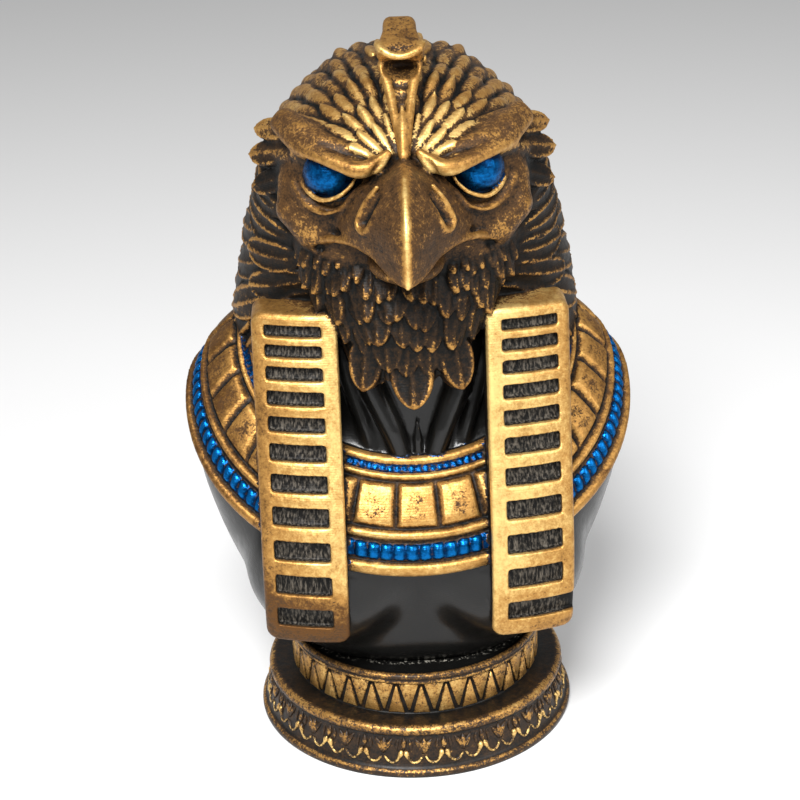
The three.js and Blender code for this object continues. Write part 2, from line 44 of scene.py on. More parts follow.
# Camera: it looks down on the bust from a little to one side of its front, and is tipped by a degree or so.
# Lengths in this file are millimetres, and each mesh is turned into metres where it is made.
TARGET = Vector((0, 0, 69.3)) * 0.001
DISTANCE = 0.375
AIM_SIDE = math.radians(2.2)
AIM_DOWN = math.radians(23.4)
TIP = math.radians(1.52)
aim = Vector((math.sin(AIM_SIDE) * math.cos(AIM_DOWN), math.cos(AIM_SIDE) * math.cos(AIM_DOWN), -math.sin(AIM_DOWN)))
level_right = aim.cross(Vector((0, 0, 1))).normalized()
level_up = level_right.cross(aim)
right = level_right * math.cos(TIP) - level_up * math.sin(TIP)
up = level_right * math.sin(TIP) + level_up * math.cos(TIP)
lens = bpy.data.cameras.new("camera")
lens.sensor_width = 36
lens.lens = 82.35
lens.shift_x = -8.667 / 800
lens.shift_y = -0.23 / 800
lens.clip_start = 0.01
camera = bpy.data.objects.new("camera", lens)
camera.matrix_world = Matrix((
    (right.x, up.x, -aim.x, TARGET.x - aim.x * DISTANCE),
    (right.y, up.y, -aim.y, TARGET.y - aim.y * DISTANCE),
    (right.z, up.z, -aim.z, TARGET.z - aim.z * DISTANCE),
    (0, 0, 0, 1),
))
bpy.context.scene.collection.objects.link(camera)
bpy.context.scene.camera = camera


# Clay: the bust is one casting, so it is shaped in one block of clay before it is poured.
# Each cell of the block holds its distance to the surface, and the number of the form that is nearest to it.
CELL = 0.36
BLOCK = np.array([[-46.6, 46.6], [-47.2, 36.2], [18.3, 151.2]])
lines = [np.arange(low, high, CELL, dtype=np.float32) for low, high in BLOCK]
clay = np.full([len(line) for line in lines], 5, np.float32)
form_of = np.zeros(clay.shape, np.int8)
TORSO, NECK, COLLAR, LAPPET, MANE, FACE, BROW, EYE, LID, BEAK, BEARD, COBRA = range(12)
HEAD_TURN = math.radians(-1.7)


def window(box):
    """The part of the block inside a box, and the coordinates of its cells"""
    cuts = []
    for line, (low, high) in zip(lines, box):
        first = max(0, int(np.searchsorted(line, low)) - 1)
        cuts.append(slice(first, int(np.searchsorted(line, high)) + 1))
    x, y, z = (line[cut] for line, cut in zip(lines, cuts))
    return tuple(cuts), x[:, None, None], y[None, :, None], z[None, None, :]


def to_head(x, y):
    """Places on the casting, as seen by the head, which is turned a little on its neck"""
    return x * math.cos(HEAD_TURN) + y * math.sin(HEAD_TURN), y * math.cos(HEAD_TURN) - x * math.sin(HEAD_TURN)


def soft_min(a, b, blend):
    mix = np.clip(0.5 + 0.5 * (b - a) / blend, 0, 1)
    return b + (a - b) * mix - blend * mix * (1 - mix)


def add(box, distance, form, blend=0.4, on_head=False):
    """Lays a form on the clay, with a fillet where they meet"""
    cuts, x, y, z = window(box)
    if on_head:
        x, y = to_head(x, y)
    new = distance(x, y, z).astype(np.float32)
    old = clay[cuts]
    form_of[cuts] = np.where(new < old, form, form_of[cuts])
    clay[cuts] = soft_min(new, old, blend)


def carve(box, distance, blend=0.3, on_head=False):
    """Cuts a form out of the clay"""
    cuts, x, y, z = window(box)
    if on_head:
        x, y = to_head(x, y)
    clay[cuts] = -soft_min(distance(x, y, z).astype(np.float32), -clay[cuts], blend)


def smooth_table(rows, count=240):
    """The rows of a table joined by a smooth curve through all of them"""
    rows = np.array(rows, float)
    keys = rows[:, 0]
    slopes = np.gradient(rows, keys, axis=0)
    fine = np.linspace(keys[0], keys[-1], count)
    i = np.clip(np.searchsorted(keys, fine, side="right") - 1, 0, len(keys) - 2)
    step = (keys[i + 1] - keys[i])[:, None]
    t = (fine - keys[i])[:, None] / step
    from_left = (2 * t ** 3 - 3 * t ** 2 + 1) * rows[i] + (t ** 3 - 2 * t ** 2 + t) * step * slopes[i]
    from_right = (3 * t ** 2 - 2 * t ** 3) * rows[i + 1] + (t ** 3 - t ** 2) * step * slopes[i + 1]
    return from_left + from_right


def rings(rows, squareness):
    """A form given by level rings, each [height, half width, front, back]"""
    table = smooth_table(rows)
    size = (table[:, 1] + (table[:, 3] - table[:, 2]) / 2) / 2
    lean = 1 / np.sqrt(1 + np.gradient(size, table[:, 0]) ** 2)

    def distance(x, y, z):
        half_width, front, back = (np.interp(z, table[:, 0], table[:, i]) for i in (1, 2, 3))
        middle = (front + back) / 2
        across = np.abs(x / half_width) ** squareness
        reach = (across + np.abs((y - middle) / ((back - front) / 2)) ** squareness) ** (1 / squareness)
        side = np.hypot(x, y - middle) * (1 - 1 / np.maximum(reach, 1e-3)) * np.interp(z, table[:, 0], lean)
        return np.maximum(side, np.maximum(z - rows[-1][0], rows[0][0] - z))
    return distance


def ball(centre, radii):
    cx, cy, cz = centre
    rx, ry, rz = radii

    def distance(x, y, z):
        reach = np.sqrt(((x - cx) / rx) ** 2 + ((y - cy) / ry) ** 2 + ((z - cz) / rz) ** 2)
        return (reach - 1) * min(radii)
    return distance


def rope(points, radii, flat=1):
    """A rounded bar along a run of points, with a radius at each; flat under 1 flattens it from front to back"""
    points = np.array(points, float)

    def distance(x, y, z):
        nearest = None
        for a, b, ra, rb in zip(points, points[1:], radii, radii[1:]):
            along = b - a
            t = ((x - a[0]) * along[0] + (y - a[1]) * along[1] + (z - a[2]) * along[2]) / (along @ along)
            t = np.clip(t, 0, 1)
            gap = np.sqrt((x - a[0] - t * along[0]) ** 2 + ((y - a[1] - t * along[1]) / flat) ** 2
                          + (z - a[2] - t * along[2]) ** 2) - (ra + t * (rb - ra))
            nearest = gap if nearest is None else np.minimum(nearest, gap)
        return nearest
    return distance


def curve(points, count=24):
    """A smooth run of points through a few"""
    steps = np.arange(len(points), dtype=float)[:, None]
    return smooth_table(np.hstack([steps, np.array(points, float)]), count)[:, 1:]


def box_round(points, spare):
    """The box round some points, with room to spare"""
    points = np.array(points, float)
    return np.stack([points.min(0) - spare, points.max(0) + spare], axis=1)


def both_sides(shape):
    """A form and its mirror image across the middle"""
    return lambda x, y, z: shape(np.abs(x), y, z)


# Torso, chest and neck: plain black-painted clay, cut off flat at the foot and below the shoulders.
# The neck's two tendons run down in a V to the hollow between the collar bones.
TORSO_RINGS = [
    [19.9, 24.4, -20.5, 21], [22.5, 28.5, -22, 23], [26, 31, -23, 25], [30, 33.3, -23.5, 26.5],
    [36, 36, -24.5, 28], [48, 40.6, -26, 30], [59, 43.4, -25, 31], [67, 43.6, -21, 31],
    [72, 41, -18, 30], [77, 36, -16, 28], [84, 29, -14, 26], [90, 22, -12, 22],
]
NECK_RINGS = [[60, 24, -21, 20], [70, 21, -20.5, 20], [80, 19, -20, 22], [95, 20, -20, 24]]
add([[-46, 46], [-30, 35], [18, 93]], rings(TORSO_RINGS, 2.3), TORSO)
for side in (-1, 1):
    add([[side * 16.5 - 19, side * 16.5 + 19], [-33, 5], [22, 61]],
        ball((side * 16.5, -14, 41.5), (18, 17.3, 17.3)), TORSO, blend=3)
add([[-27, 27], [-24, 26], [58, 97]], rings(NECK_RINGS, 2), NECK, blend=2)
TENDONS = [
    ([[-1.9, -21.6, 65.5], [-4, -20.8, 72], [-7.6, -18.9, 80], [-10, -16.6, 89]], [1.7, 2.2, 2.7, 3]),
    ([[3.4, -21.6, 65.5], [5.6, -20.8, 72], [8.8, -18.9, 79.5], [11, -16.6, 89]], [1.7, 2.2, 2.7, 3]),
    ([[-7.4, -19.4, 66], [-9.6, -18.2, 73], [-12.4, -15.8, 81], [-14, -13, 89]], [1.3, 1.5, 1.8, 2]),
    ([[8.8, -19.4, 66], [11, -18.2, 73], [13.4, -15.8, 81], [15, -13, 89]], [1.3, 1.5, 1.8, 2]),
]
for points, radii in TENDONS:
    add(box_round(points, 5), rope(points, radii), NECK, blend=0.9)
carve([[-6, 8], [-27, -17], [66, 86]], rope([[0.7, -24.6, 83], [0.7, -23.9, 75], [0.7, -23.4, 69.5]], [2.6, 2.2, 1.2]),
      blend=1)
add([[-2, 4], [-25, -19], [63, 78]], rope([[0.7, -21.2, 74], [0.8, -21.5, 70], [0.8, -21.4, 66]], [0.3, 0.9, 0.7]),
    NECK, blend=0.8)
CLEFT = [[0.6, -31.4, 60], [0.7, -30.9, 45], [0.7, -28.8, 36], [0.2, -25.7, 27]]
carve([[-4, 5], [-35, -22], [22, 64]], rope(CLEFT, [1.6, 1.5, 1.3, 0.8]), blend=1.6)



# Broad collar: a raised ring of rows that lies over the shoulders. From the neck outwards it has a gold rim,
# a thin blue band with small ticks, a gold rim, a row of tiles, a gold rim, a blue band of teeth and a gold rim.
INNER = {"half_width": 30, "half_depth": 22, "side": 86, "front_drop": 19, "back_drop": 17}
OUTER = {"half_width": 45, "half_depth": 32.4, "side": 71, "front_drop": 25, "back_drop": 31}
COLLAR_BULGE = 1.6
COLLAR_RATIO = 1.376
COLLAR_ROWS = np.array([
    [0, 0.5], [0.015, 1.1], [0.04, 1.3], [0.07, 1.1], [0.085, 0.45], [0.14, 0.45], [0.155, 1.0], [0.175, 1.25],
    [0.195, 1.0], [0.212, 0.1], [0.618, 0.1], [0.635, 0.9], [0.665, 1.3], [0.69, 1.1], [0.705, 0.2],
    [0.73, 0.0], [0.75, 0.4], [0.80, 0.6], [0.86, 0.4], [0.875, 0.0], [0.89, 0.2], [0.91, 1.0], [0.95, 1.3],
    [0.985, 0.8], [1, 0.2],
])
TILES = 30
TILE_ROW = (0.245, 0.59)
TILE_RISE = 1.1
TEETH = 108
TICKS = 150


def collar_place(x, y, z):
    """Where a point lies on the collar: angle from the front, share of the way out, height above it, width"""
    angle = np.arctan2(x / COLLAR_RATIO, -y)
    front = np.cos(angle)
    sine = np.sin(angle)

    def edge(oval):
        low = oval["side"] - oval["front_drop"] * front - np.where(front < 0, oval["back_drop"], 0) * front ** 2
        return oval["half_width"] * sine, -oval["half_depth"] * front, low
    ix, iy, iz = edge(INNER)
    ox, oy, oz = edge(OUTER)
    ax, ay, az = ox - ix, oy - iy, oz - iz
    length = ax ** 2 + ay ** 2 + az ** 2
    share = ((x - ix) * ax + (y - iy) * ay + (z - iz) * az) / length
    nx, ny, nz = -az * sine, az * front, ax * sine - ay * front
    size = np.sqrt(nx ** 2 + ny ** 2 + nz ** 2)
    rise = ((x - ix) * nx + (y - iy) * ny + (z - iz) * nz) / size
    bulge = COLLAR_BULGE * np.sin(np.pi * np.clip(share, 0, 1))
    return angle, share, rise - bulge, np.sqrt(length)


def smooth_step(value, low, high):
    t = np.clip((value - low) / (high - low), 0, 1)
    return t * t * (3 - 2 * t)


def collar(x, y, z):
    angle, share, rise, width = collar_place(x, y, z)
    top = np.interp(share, COLLAR_ROWS[:, 0], COLLAR_ROWS[:, 1])
    pitch = 2 * np.pi / TILES
    off_middle = np.abs((angle / pitch + 0.5) % 1 - 0.5)
    arc = pitch * (30 + 15 * share) * 0.92
    inset = np.minimum((0.43 - off_middle) * arc, np.minimum(share - TILE_ROW[0], TILE_ROW[1] - share) * width)
    top = top + TILE_RISE * smooth_step(inset, -0.35, 0.45)
    tooth = np.abs(np.sin(angle * TEETH / 2))
    top = top + np.where((share > 0.74) & (share < 0.87), 0.8 * tooth ** 0.6 - 0.35, 0)
    tick = np.abs(np.sin(angle * TICKS / 2))
    top = top + np.where((share > 0.092) & (share < 0.135), 0.35 * tick - 0.1, 0)
    ends = np.maximum(-share, share - 1) * width
    return np.maximum(np.maximum((rise - top) * 0.9, ends), -rise - 5)


add([[-47, 47], [-34, 34], [42, 92]], collar, COLLAR, blend=0.25)


# Lappets: the two striped bands of the head cloth, thick slabs that hang from behind the beard to the waist.
# Each has eleven slots with a rib between, deeper towards the foot; the right one's last slot has a broken end.
LAPPET_TOP = 97
LAPPET_FOOT = 32.3
LAPPET_INNER = 13.9
LAPPET_OUTER = 30.3
LAPPET_WRAP = 3.5
LAPPET_THICKNESS = 9
LAPPET_FRONT = smooth_table([[32.3, -33.6], [40, -35.3], [50, -35], [60, -32.5], [71, -29.2], [81, -26.8], [97, -22.5]])
SLOTS = 11
SLOT_EDGES = (0.19, 0.85)
SLOT_DEPTH = 1.7


def lappet_place(x, y, z):
    """Share of the way across a lappet, and depth behind its face"""
    share = (np.abs(x) - LAPPET_INNER) / (LAPPET_OUTER - LAPPET_INNER)
    front = np.interp(z, LAPPET_FRONT[:, 0], LAPPET_FRONT[:, 1])
    return share, y - front - LAPPET_WRAP * np.clip(share, 0, 1) ** 2


def rounded_box(u, v, half_u, half_v, radius):
    """Distance to a rounded rectangle"""
    out_u = np.abs(u) - half_u + radius
    out_v = np.abs(v) - half_v + radius
    outside = np.hypot(np.maximum(out_u, 0), np.maximum(out_v, 0))
    return outside + np.minimum(np.maximum(out_u, out_v), 0) - radius


def slab(x, y, z):
    share, depth = lappet_place(x, y, z)
    width = LAPPET_OUTER - LAPPET_INNER
    middle = (LAPPET_TOP + LAPPET_FOOT) / 2
    outline = rounded_box((share - 0.5) * width, z - middle, width / 2, (LAPPET_TOP - LAPPET_FOOT) / 2, 2.4)
    thick = np.maximum(-depth, depth - LAPPET_THICKNESS) * 0.95
    return -soft_min(-outline, -thick, 1.1)


def slots(x, y, z):
    share, depth = lappet_place(x, y, z)
    width = LAPPET_OUTER - LAPPET_INNER
    nearest = np.full(np.broadcast(x, y, z).shape, 9, np.float32)
    for i in range(SLOTS):
        middle = 93.7 - i * 3.52 - i * i * 0.2
        half = (3.52 + (2 * i + 1) * 0.2) * 0.275
        high_edge = SLOT_EDGES[1] + np.where((i == SLOTS - 1) & (x > 0), 0.25, 0)
        centre = (SLOT_EDGES[0] + high_edge) / 2
        reach = (high_edge - SLOT_EDGES[0]) / 2 * width
        outline = rounded_box((share - centre) * width, z - middle, reach, half, 0.35)
        nearest = np.minimum(nearest, outline)
    return np.maximum(nearest, depth - SLOT_DEPTH)


for side in (-1, 1):
    span = sorted((side * 12, side * 33))
    add([span, [-37, -10], [30, 99]], slab, LAPPET, blend=0.25)
    carve([span, [-37, -14], [31, 97]], slots, blend=0.35)


# Crown and mane: the head from the brow back to the nape, all of it feathers.
# They spring from the edge of the face, lie back over each other in rows and grow longer towards the nape.
MANE_RINGS = [
    [76, 30, -13, 30], [84, 33.6, -14, 32], [91, 33.2, -16, 32.5], [100, 31.6, -17.5, 32.5],
    [110, 29.2, -20, 32.3], [118, 27.2, -24, 31.5], [125, 25.2, -27, 30], [129, 23, -26.3, 28],
    [132, 20.2, -23, 26], [135.5, 16, -17.5, 23], [138.8, 9.6, -10, 18], [140.4, 2, -1, 9],
]
MANE_SQUARENESS = 2.5
HEAD_CENTRE = np.array([0, 3, 112.0])
MASK_EDGE = (29, 56, 48)
MANE_DROOP = math.radians(70)
mane_skin = rings(MANE_RINGS, MANE_SQUARENESS)


def skin_point(skin, direction):
    """Where a line from the middle of the head leaves a form"""
    near, far = 0.0, 60.0
    for _ in range(18):
        middle = (near + far) / 2
        if skin(*(HEAD_CENTRE + direction * middle)) < 0:
            near = middle
        else:
            far = middle
    return HEAD_CENTRE + direction * near


def mane_direction(share, turn):
    """The way the feathers lie beside the face: back from its edge, and then down to the nape"""
    sideways = abs(math.atan2(math.sin(turn), math.cos(turn)))
    front, side, below = MASK_EDGE
    edge = front + (side - front) * smooth_step(sideways, 0.42, 0.9) + (below - side) * smooth_step(sideways, 1.2, 1.9)
    polar = math.radians(edge + (176 - edge) * share)
    droop = -MANE_DROOP * max(0, (polar - 0.7) / (math.pi - 0.7))
    x, y, z = math.sin(polar) * math.sin(turn), -math.cos(polar), math.sin(polar) * math.cos(turn)
    return np.array([x, y * math.cos(droop) - z * math.sin(droop), y * math.sin(droop) + z * math.cos(droop)])


def fan_direction(polar, turn):
    """The way the feathers lie over the forehead and the crown: a fan that opens from between the brows"""
    ahead = np.array([0, -math.cos(FAN_TILT), math.sin(FAN_TILT)])
    above = np.array([0, math.sin(FAN_TILT), math.cos(FAN_TILT)])
    across = math.cos(turn) * above + np.array([math.sin(turn), 0, 0])
    return ahead * math.cos(math.radians(polar)) + across * math.sin(math.radians(polar))


def lay_feather(lift, root, flow, outward, length, width, height, rim, rib, round_off, tip_drop):
    """Raises one feather: thin at its root and highest at its tip, rounded off or flat with a raised rim and rib"""
    side = np.cross(outward, flow)
    cuts, x, y, z = window(box_round([root, root + flow * length], width / 2 + 2))
    x, y = to_head(x, y)
    x, y, z = x - root[0], y - root[1], z - root[2]
    u = (x * flow[0] + y * flow[1] + z * flow[2]) / length
    across = x * side[0] + y * side[1] + z * side[2]
    half = width / 2 * (np.clip(0.35 + u * 1.6, 0.3, 1) * np.sqrt(1 - np.clip((u - 0.55) / 0.45, 0, 1) ** 2.4))
    share = np.minimum(np.abs(across) / np.maximum(half, 0.05), 1)
    outside = np.maximum(np.abs(across) - half, 0) + np.maximum(u - 1, 0) * length
    top = height * (0.1 + 0.9 * np.clip(u, 0, 1) ** 0.7) * (1 - round_off * share ** 2)
    top = top * (1 - tip_drop * smooth_step(u, 0.55, 1))
    grown = smooth_step(u, 0.08, 0.35)
    top = top + rim * grown * np.exp(-((share - 0.88) / 0.12) ** 2)
    top = top + rib * grown * np.exp(-(across / 0.35) ** 2) * (u < 1)
    raised = top - 2.4 * outside - 3 * np.maximum(-u, 0)
    lift[cuts] = np.maximum(lift[cuts], raised.astype(np.float32))


def lay_row(directions, step, spread, row):
    """One row of feathers, each lying the way the row after it starts"""
    for number, turn in enumerate(directions):
        place, size, swell = chance.uniform(-0.02, 0.02), chance.uniform(0.88, 1.12), chance.uniform(0.8, 1.15)
        root = skin_point(mane_skin, spread(row["start"], turn + place))
        ahead = skin_point(mane_skin, spread(row["start"] + step, turn + place))
        beside = skin_point(mane_skin, spread(row["start"], turn + place + 0.05))
        flow = (ahead - root) / np.linalg.norm(ahead - root)
        outward = np.cross(flow, beside - root)
        outward /= np.linalg.norm(outward)
        if outward @ (root - HEAD_CENTRE) < 0:
            outward = -outward
        spoke = (root - HEAD_CENTRE) / np.linalg.norm(root - HEAD_CENTRE)
        in_fan = math.atan2(abs(spoke[0]), spoke @ fan_direction(90, 0)) < FAN_REACH - 0.12
        in_fan = in_fan and spoke @ fan_direction(0, 0) > -0.62
        over_brow = root[1] < -3 and root[2] > 119
        if spread is mane_direction and (in_fan or over_brow or root[2] < 80):
            continue
        lay_feather(lift, root, flow, outward, row["length"] * size, row["width"], row["height"] * swell,
                    row["rim"], row["rib"], row["round"], row["tip_drop"])


FAN_TILT = math.radians(24)
FAN_REACH = math.radians(76)
FAN_ROWS = [
    {"start": 6, "count": 11, "length": 8, "width": 2.2, "height": 1.7},
    {"start": 15, "count": 14, "length": 8, "width": 2.5, "height": 1.8},
    {"start": 25, "count": 17, "length": 9, "width": 2.8, "height": 1.8},
    {"start": 36, "count": 19, "length": 12, "width": 3.2, "height": 1.8},
    {"start": 50, "count": 20, "length": 16, "width": 3.7, "height": 1.9},
    {"start": 66, "count": 20, "length": 18, "width": 4.2, "height": 1.9},
    {"start": 84, "count": 19, "length": 18, "width": 4.7, "height": 1.8},
    {"start": 102, "count": 17, "length": 18, "width": 5.2, "height": 1.7},
    {"start": 120, "count": 15, "length": 16, "width": 5.6, "height": 1.7},
]
MANE_ROWS = [
    {"start": 0.0, "count": 32, "length": 18, "width": 6, "height": 1.7},
    {"start": 0.13, "count": 30, "length": 22, "width": 6.8, "height": 1.9},
    {"start": 0.28, "count": 29, "length": 24, "width": 7.4, "height": 2},
    {"start": 0.44, "count": 27, "length": 24, "width": 7.8, "height": 2},
    {"start": 0.6, "count": 24, "length": 22, "width": 8.4, "height": 1.9},
    {"start": 0.74, "count": 19, "length": 20, "width": 9, "height": 1.8},
    {"start": 0.86, "count": 14, "length": 20, "width": 10, "height": 1.8},
]
lift = np.full(clay.shape, -0.35, np.float32)
chance = np.random.default_rng(7)
for row_number, row in enumerate(MANE_ROWS):
    turns = (np.arange(row["count"]) + row_number % 2 / 2) / row["count"] * 2 * math.pi
    lay_row(turns, 0.06, mane_direction, row | {"rim": 0.5, "rib": 0.4, "round": 0.2, "tip_drop": 0})
for row_number, row in enumerate(FAN_ROWS):
    turns = np.linspace(-FAN_REACH, FAN_REACH, row["count"] + row_number % 2)
    lay_row(turns, 6, fan_direction, row | {"rim": 0, "rib": 0, "round": 0.85, "tip_drop": 0.7 * (row["start"] > 30)})
cuts, x, y, z = window([[-40, 40], [-36, 38], [74, 146]])
head_x, head_y = to_head(x, y)
lifted = np.zeros(clay.shape, np.float32)
lifted[cuts] = lift[cuts]
new = (mane_skin(head_x, head_y, z) - lift[cuts] * 0.9).astype(np.float32)
form_of[cuts] = np.where(new < clay[cuts], MANE, form_of[cuts])
clay[cuts] = soft_min(new, clay[cuts], 0.3)


def leaf(root, tip, outward, width, thick, pointed=0.62):
    """A thick leaf with a raised rim and midrib, from its root to a tip that is more or less pointed"""
    length = np.linalg.norm(tip - root)
    flow = (tip - root) / length
    outward = outward - flow * (flow @ outward)
    outward = outward / np.linalg.norm(outward)
    side = np.cross(outward, flow)

    def distance(x, y, z):
        x, y, z = x - root[0], y - root[1], z - root[2]
        u = (x * flow[0] + y * flow[1] + z * flow[2]) / length
        across = x * side[0] + y * side[1] + z * side[2]
        high = x * outward[0] + y * outward[1] + z * outward[2]
        half = width / 2 * np.clip(0.6 + u * 1.4, 0.5, 1) * (1 - np.clip((u - 0.4) / 0.6, 0, 0.999) ** (1.3 / pointed)) ** pointed
        share = np.minimum(np.abs(across) / half, 1.2)
        top = thick * (1 - 0.4 * share ** 2) + 0.07 * width * np.exp(-((share - 0.86) / 0.13) ** 2)
        top = top + 0.06 * width * np.exp(-(across / (0.07 * width)) ** 2)
        outline = np.maximum(np.abs(across) - half, np.maximum(u - 1, -u) * length)
        return np.maximum(outline, np.maximum(high - top, -high - 3.5) * 0.85)
    return distance


# Three rounded feathers stand out behind the end of each brow, one above another
TUFTS = [([20.4, -14, 130.4], [27, -6.6, 128.6], 4.4), ([21.4, -14, 126.2], [28.2, -6.4, 123.6], 5),
         ([21.8, -13.6, 121], [28, -7, 117.6], 4.8)]
for root, tip, width in TUFTS:
    shape = leaf(np.array(root), np.array(tip), np.array([0.25, -1, 0.5]), width, 1.3, 0.5)
    for side in (-1, 1):
        add(box_round([[root[0] * side, *root[1:]], [tip[0] * side, *tip[1:]]], 4), both_sides(shape), MANE, 0.3, True)


# Face: the smooth mask round the eyes and the root of the beak, with heavy brows that run out past the eyes.
# The eyes are set back under the brows in their own hollows, with a thin lower lid and a fold under it.
FACE_RINGS = [
    [99, 13, -20, 10], [101, 15, -22, 10], [105.7, 19.8, -26, 10], [110, 21.3, -27, 10], [115.7, 22.7, -27.2, 10],
    [122, 23, -26.8, 10], [128, 22, -25.5, 10], [132, 18, -21, 10],
]
BROW_RIDGE = curve([[2.9, -28.2, 129.2], [5, -29, 127.5], [7.8, -29.3, 126.7], [10.6, -28.3, 127.2],
                    [14.2, -26.2, 128.2], [17.9, -22.7, 128.9], [21, -18.2, 130], [23, -14, 131.4]], 20)
BROW_RADII = np.interp(np.linspace(0, 1, 20), [0, 0.15, 0.3, 0.6, 1], [0.8, 1.5, 1.55, 1.25, 0.9])
BROW_LOW_EDGE = np.array([[4.5, 125.9], [7.8, 125.3], [10.6, 125.9], [14.2, 127], [17.9, 127.8], [21, 129], [23, 130.2]])
EYE_CENTRE = (13.3, -21.2, 124.3)
EYE_RADIUS = 5
LOWER_LID = curve([[8.9, -26.6, 124.2], [9.8, -26.8, 122.9], [12, -26.7, 121.1], [15.1, -25.5, 120.2],
                   [17.6, -23, 121.3], [18.7, -20.6, 123.9], [18.6, -18.8, 126]], 18)
EYE_FOLD = curve([[9.4, -27.2, 121.2], [11.8, -27.2, 118.9], [15, -25.9, 117.8], [18, -23.2, 118.9],
                  [20, -20.6, 121.8]], 12)
LIP = curve([[15.5, -22.4, 111.4], [14, -25.6, 112.8], [12.2, -28.2, 113.5], [8.8, -32, 113.7], [5.6, -35.6, 112.7]], 14)
FACE_BOX = [[-28, 28], [-37, -6], [103, 138]]


def under_brow(x, y, z):
    """The eye's hollow, cut off level with the brow's lower edge so that the brow hangs over it"""
    socket = ball((13.2, -25.2, 124), (6.6, 4.2, 5.6))(x, y, z)
    return np.maximum(socket, z - np.interp(x, BROW_LOW_EDGE[:, 0], BROW_LOW_EDGE[:, 1]))


add([[-26, 26], [-29, 12], [97, 134]], rings(FACE_RINGS, 2.6), FACE, blend=1.6, on_head=True)
add(FACE_BOX, both_sides(rope([[20.6, -17, 121], [20.4, -18.2, 116.5], [17.6, -20.6, 113]], [2.2, 3.4, 2.6])),
    FACE, blend=3, on_head=True)
BROW_PLATE = [[10, -25, 129], [14.5, -22.6, 129.8], [18.5, -18.6, 131], [21.4, -13.8, 132.4]]
add(FACE_BOX, both_sides(rope(BROW_PLATE, [1.2, 2.2, 2.6, 2])), BROW, blend=2.5, on_head=True)
add(FACE_BOX, both_sides(rope(BROW_RIDGE, BROW_RADII)), BROW, blend=2, on_head=True)
carve(FACE_BOX, both_sides(under_brow), blend=0.25, on_head=True)
for side in (-1, 1):
    place = (EYE_CENTRE[0] * side, EYE_CENTRE[1], EYE_CENTRE[2])
    add(box_round([place], 7), ball(place, (EYE_RADIUS, EYE_RADIUS, EYE_RADIUS)), EYE, blend=0.1, on_head=True)
add(FACE_BOX, both_sides(rope(EYE_FOLD, np.full(len(EYE_FOLD), 0.3))), FACE, blend=2, on_head=True)
add(FACE_BOX, both_sides(rope(LOWER_LID, np.linspace(0.35, 0.6, len(LOWER_LID)))), LID, blend=0.4, on_head=True)


# Beak: a hooked bill with a narrow ridge down its middle and a waxy skin over its root with two slit nostrils.
# Its cutting edges run back into thin lips, and the lower bill lies in their shade.
BEAK_RIDGE = curve([[0, -27.5, 128.4], [0, -34, 127.9], [0, -38.5, 126.1], [0, -42, 123.8], [0, -44.8, 120.6],
                    [0, -46.1, 115.8], [0, -46, 109.8]], 40)
BEAK_EDGE = curve([[12.5, -24.5, 115.2], [10.6, -29.5, 113.8], [8.4, -33.5, 113.4], [6.2, -36.5, 112.6],
                   [4.2, -39.8, 111.2], [2.2, -43.3, 110.2], [0.3, -45.7, 109.7]], 40)
BEAK_SECTION = [[0, 0, 0], [0.09, 0.01, 0.03], [0.2, 0.07, 0.1], [0.42, 0.15, 0.22], [0.68, 0.38, 0.42],
                [0.9, 0.72, 0.66], [1.02, 0.93, 0.88], [1, 1, 1], [0.7, 1.03, 1.02], [0, 1.06, 1.02]]


def beak_mesh():
    """The bill's outline carried along its ridge and its cutting edges, as a closed mesh"""
    half = curve(BEAK_SECTION, 26)
    ring = np.vstack([half, half[-2:0:-1] * [-1, 1, 1]])
    points = []
    for ridge, edge in zip(BEAK_RIDGE, BEAK_EDGE):
        for wide, back, down in ring:
            points.append([edge[0] * wide, ridge[1] + (edge[1] - ridge[1]) * back, ridge[2] + (edge[2] - ridge[2]) * down])
    count = len(ring)
    quads = []
    for i in range(len(BEAK_RIDGE) - 1):
        for j in range(count):
            k = (j + 1) % count
            quads.append([i * count + j, i * count + k, (i + 1) * count + k, (i + 1) * count + j])
    ends = []
    for base in (0, (len(BEAK_RIDGE) - 1) * count):
        points.append(np.mean(points[base:base + count], axis=0).tolist())
        for j in range(count):
            ends.append([len(points) - 1, base + j, base + (j + 1) % count])
    return np.array(points, np.float32), np.array(ends, np.uint32), np.array(quads, np.uint32)


def solid_from_mesh(points, triangles, quads, form, blend):
    """Lays a form given as a closed mesh on the clay; its points are places on the head"""
    turned = points.copy()
    turned[:, 0] = points[:, 0] * math.cos(HEAD_TURN) - points[:, 1] * math.sin(HEAD_TURN)
    turned[:, 1] = points[:, 0] * math.sin(HEAD_TURN) + points[:, 1] * math.cos(HEAD_TURN)
    cuts, x, y, z = window(box_round([turned.min(0), turned.max(0)], 3))
    corner = np.array([x[0, 0, 0], y[0, 0, 0], z[0, 0, 0]])
    grid = openvdb.FloatGrid.createLevelSetFromPolygons(
        ((turned - corner) / CELL).astype(np.float32), triangles=triangles, quads=quads,
        transform=openvdb.createLinearTransform(1.0), halfWidth=8.0)
    new = np.zeros(clay[cuts].shape, np.float32)
    grid.copyToArray(new)
    new *= CELL
    form_of[cuts] = np.where(new < clay[cuts], form, form_of[cuts])
    clay[cuts] = soft_min(new, clay[cuts], blend)


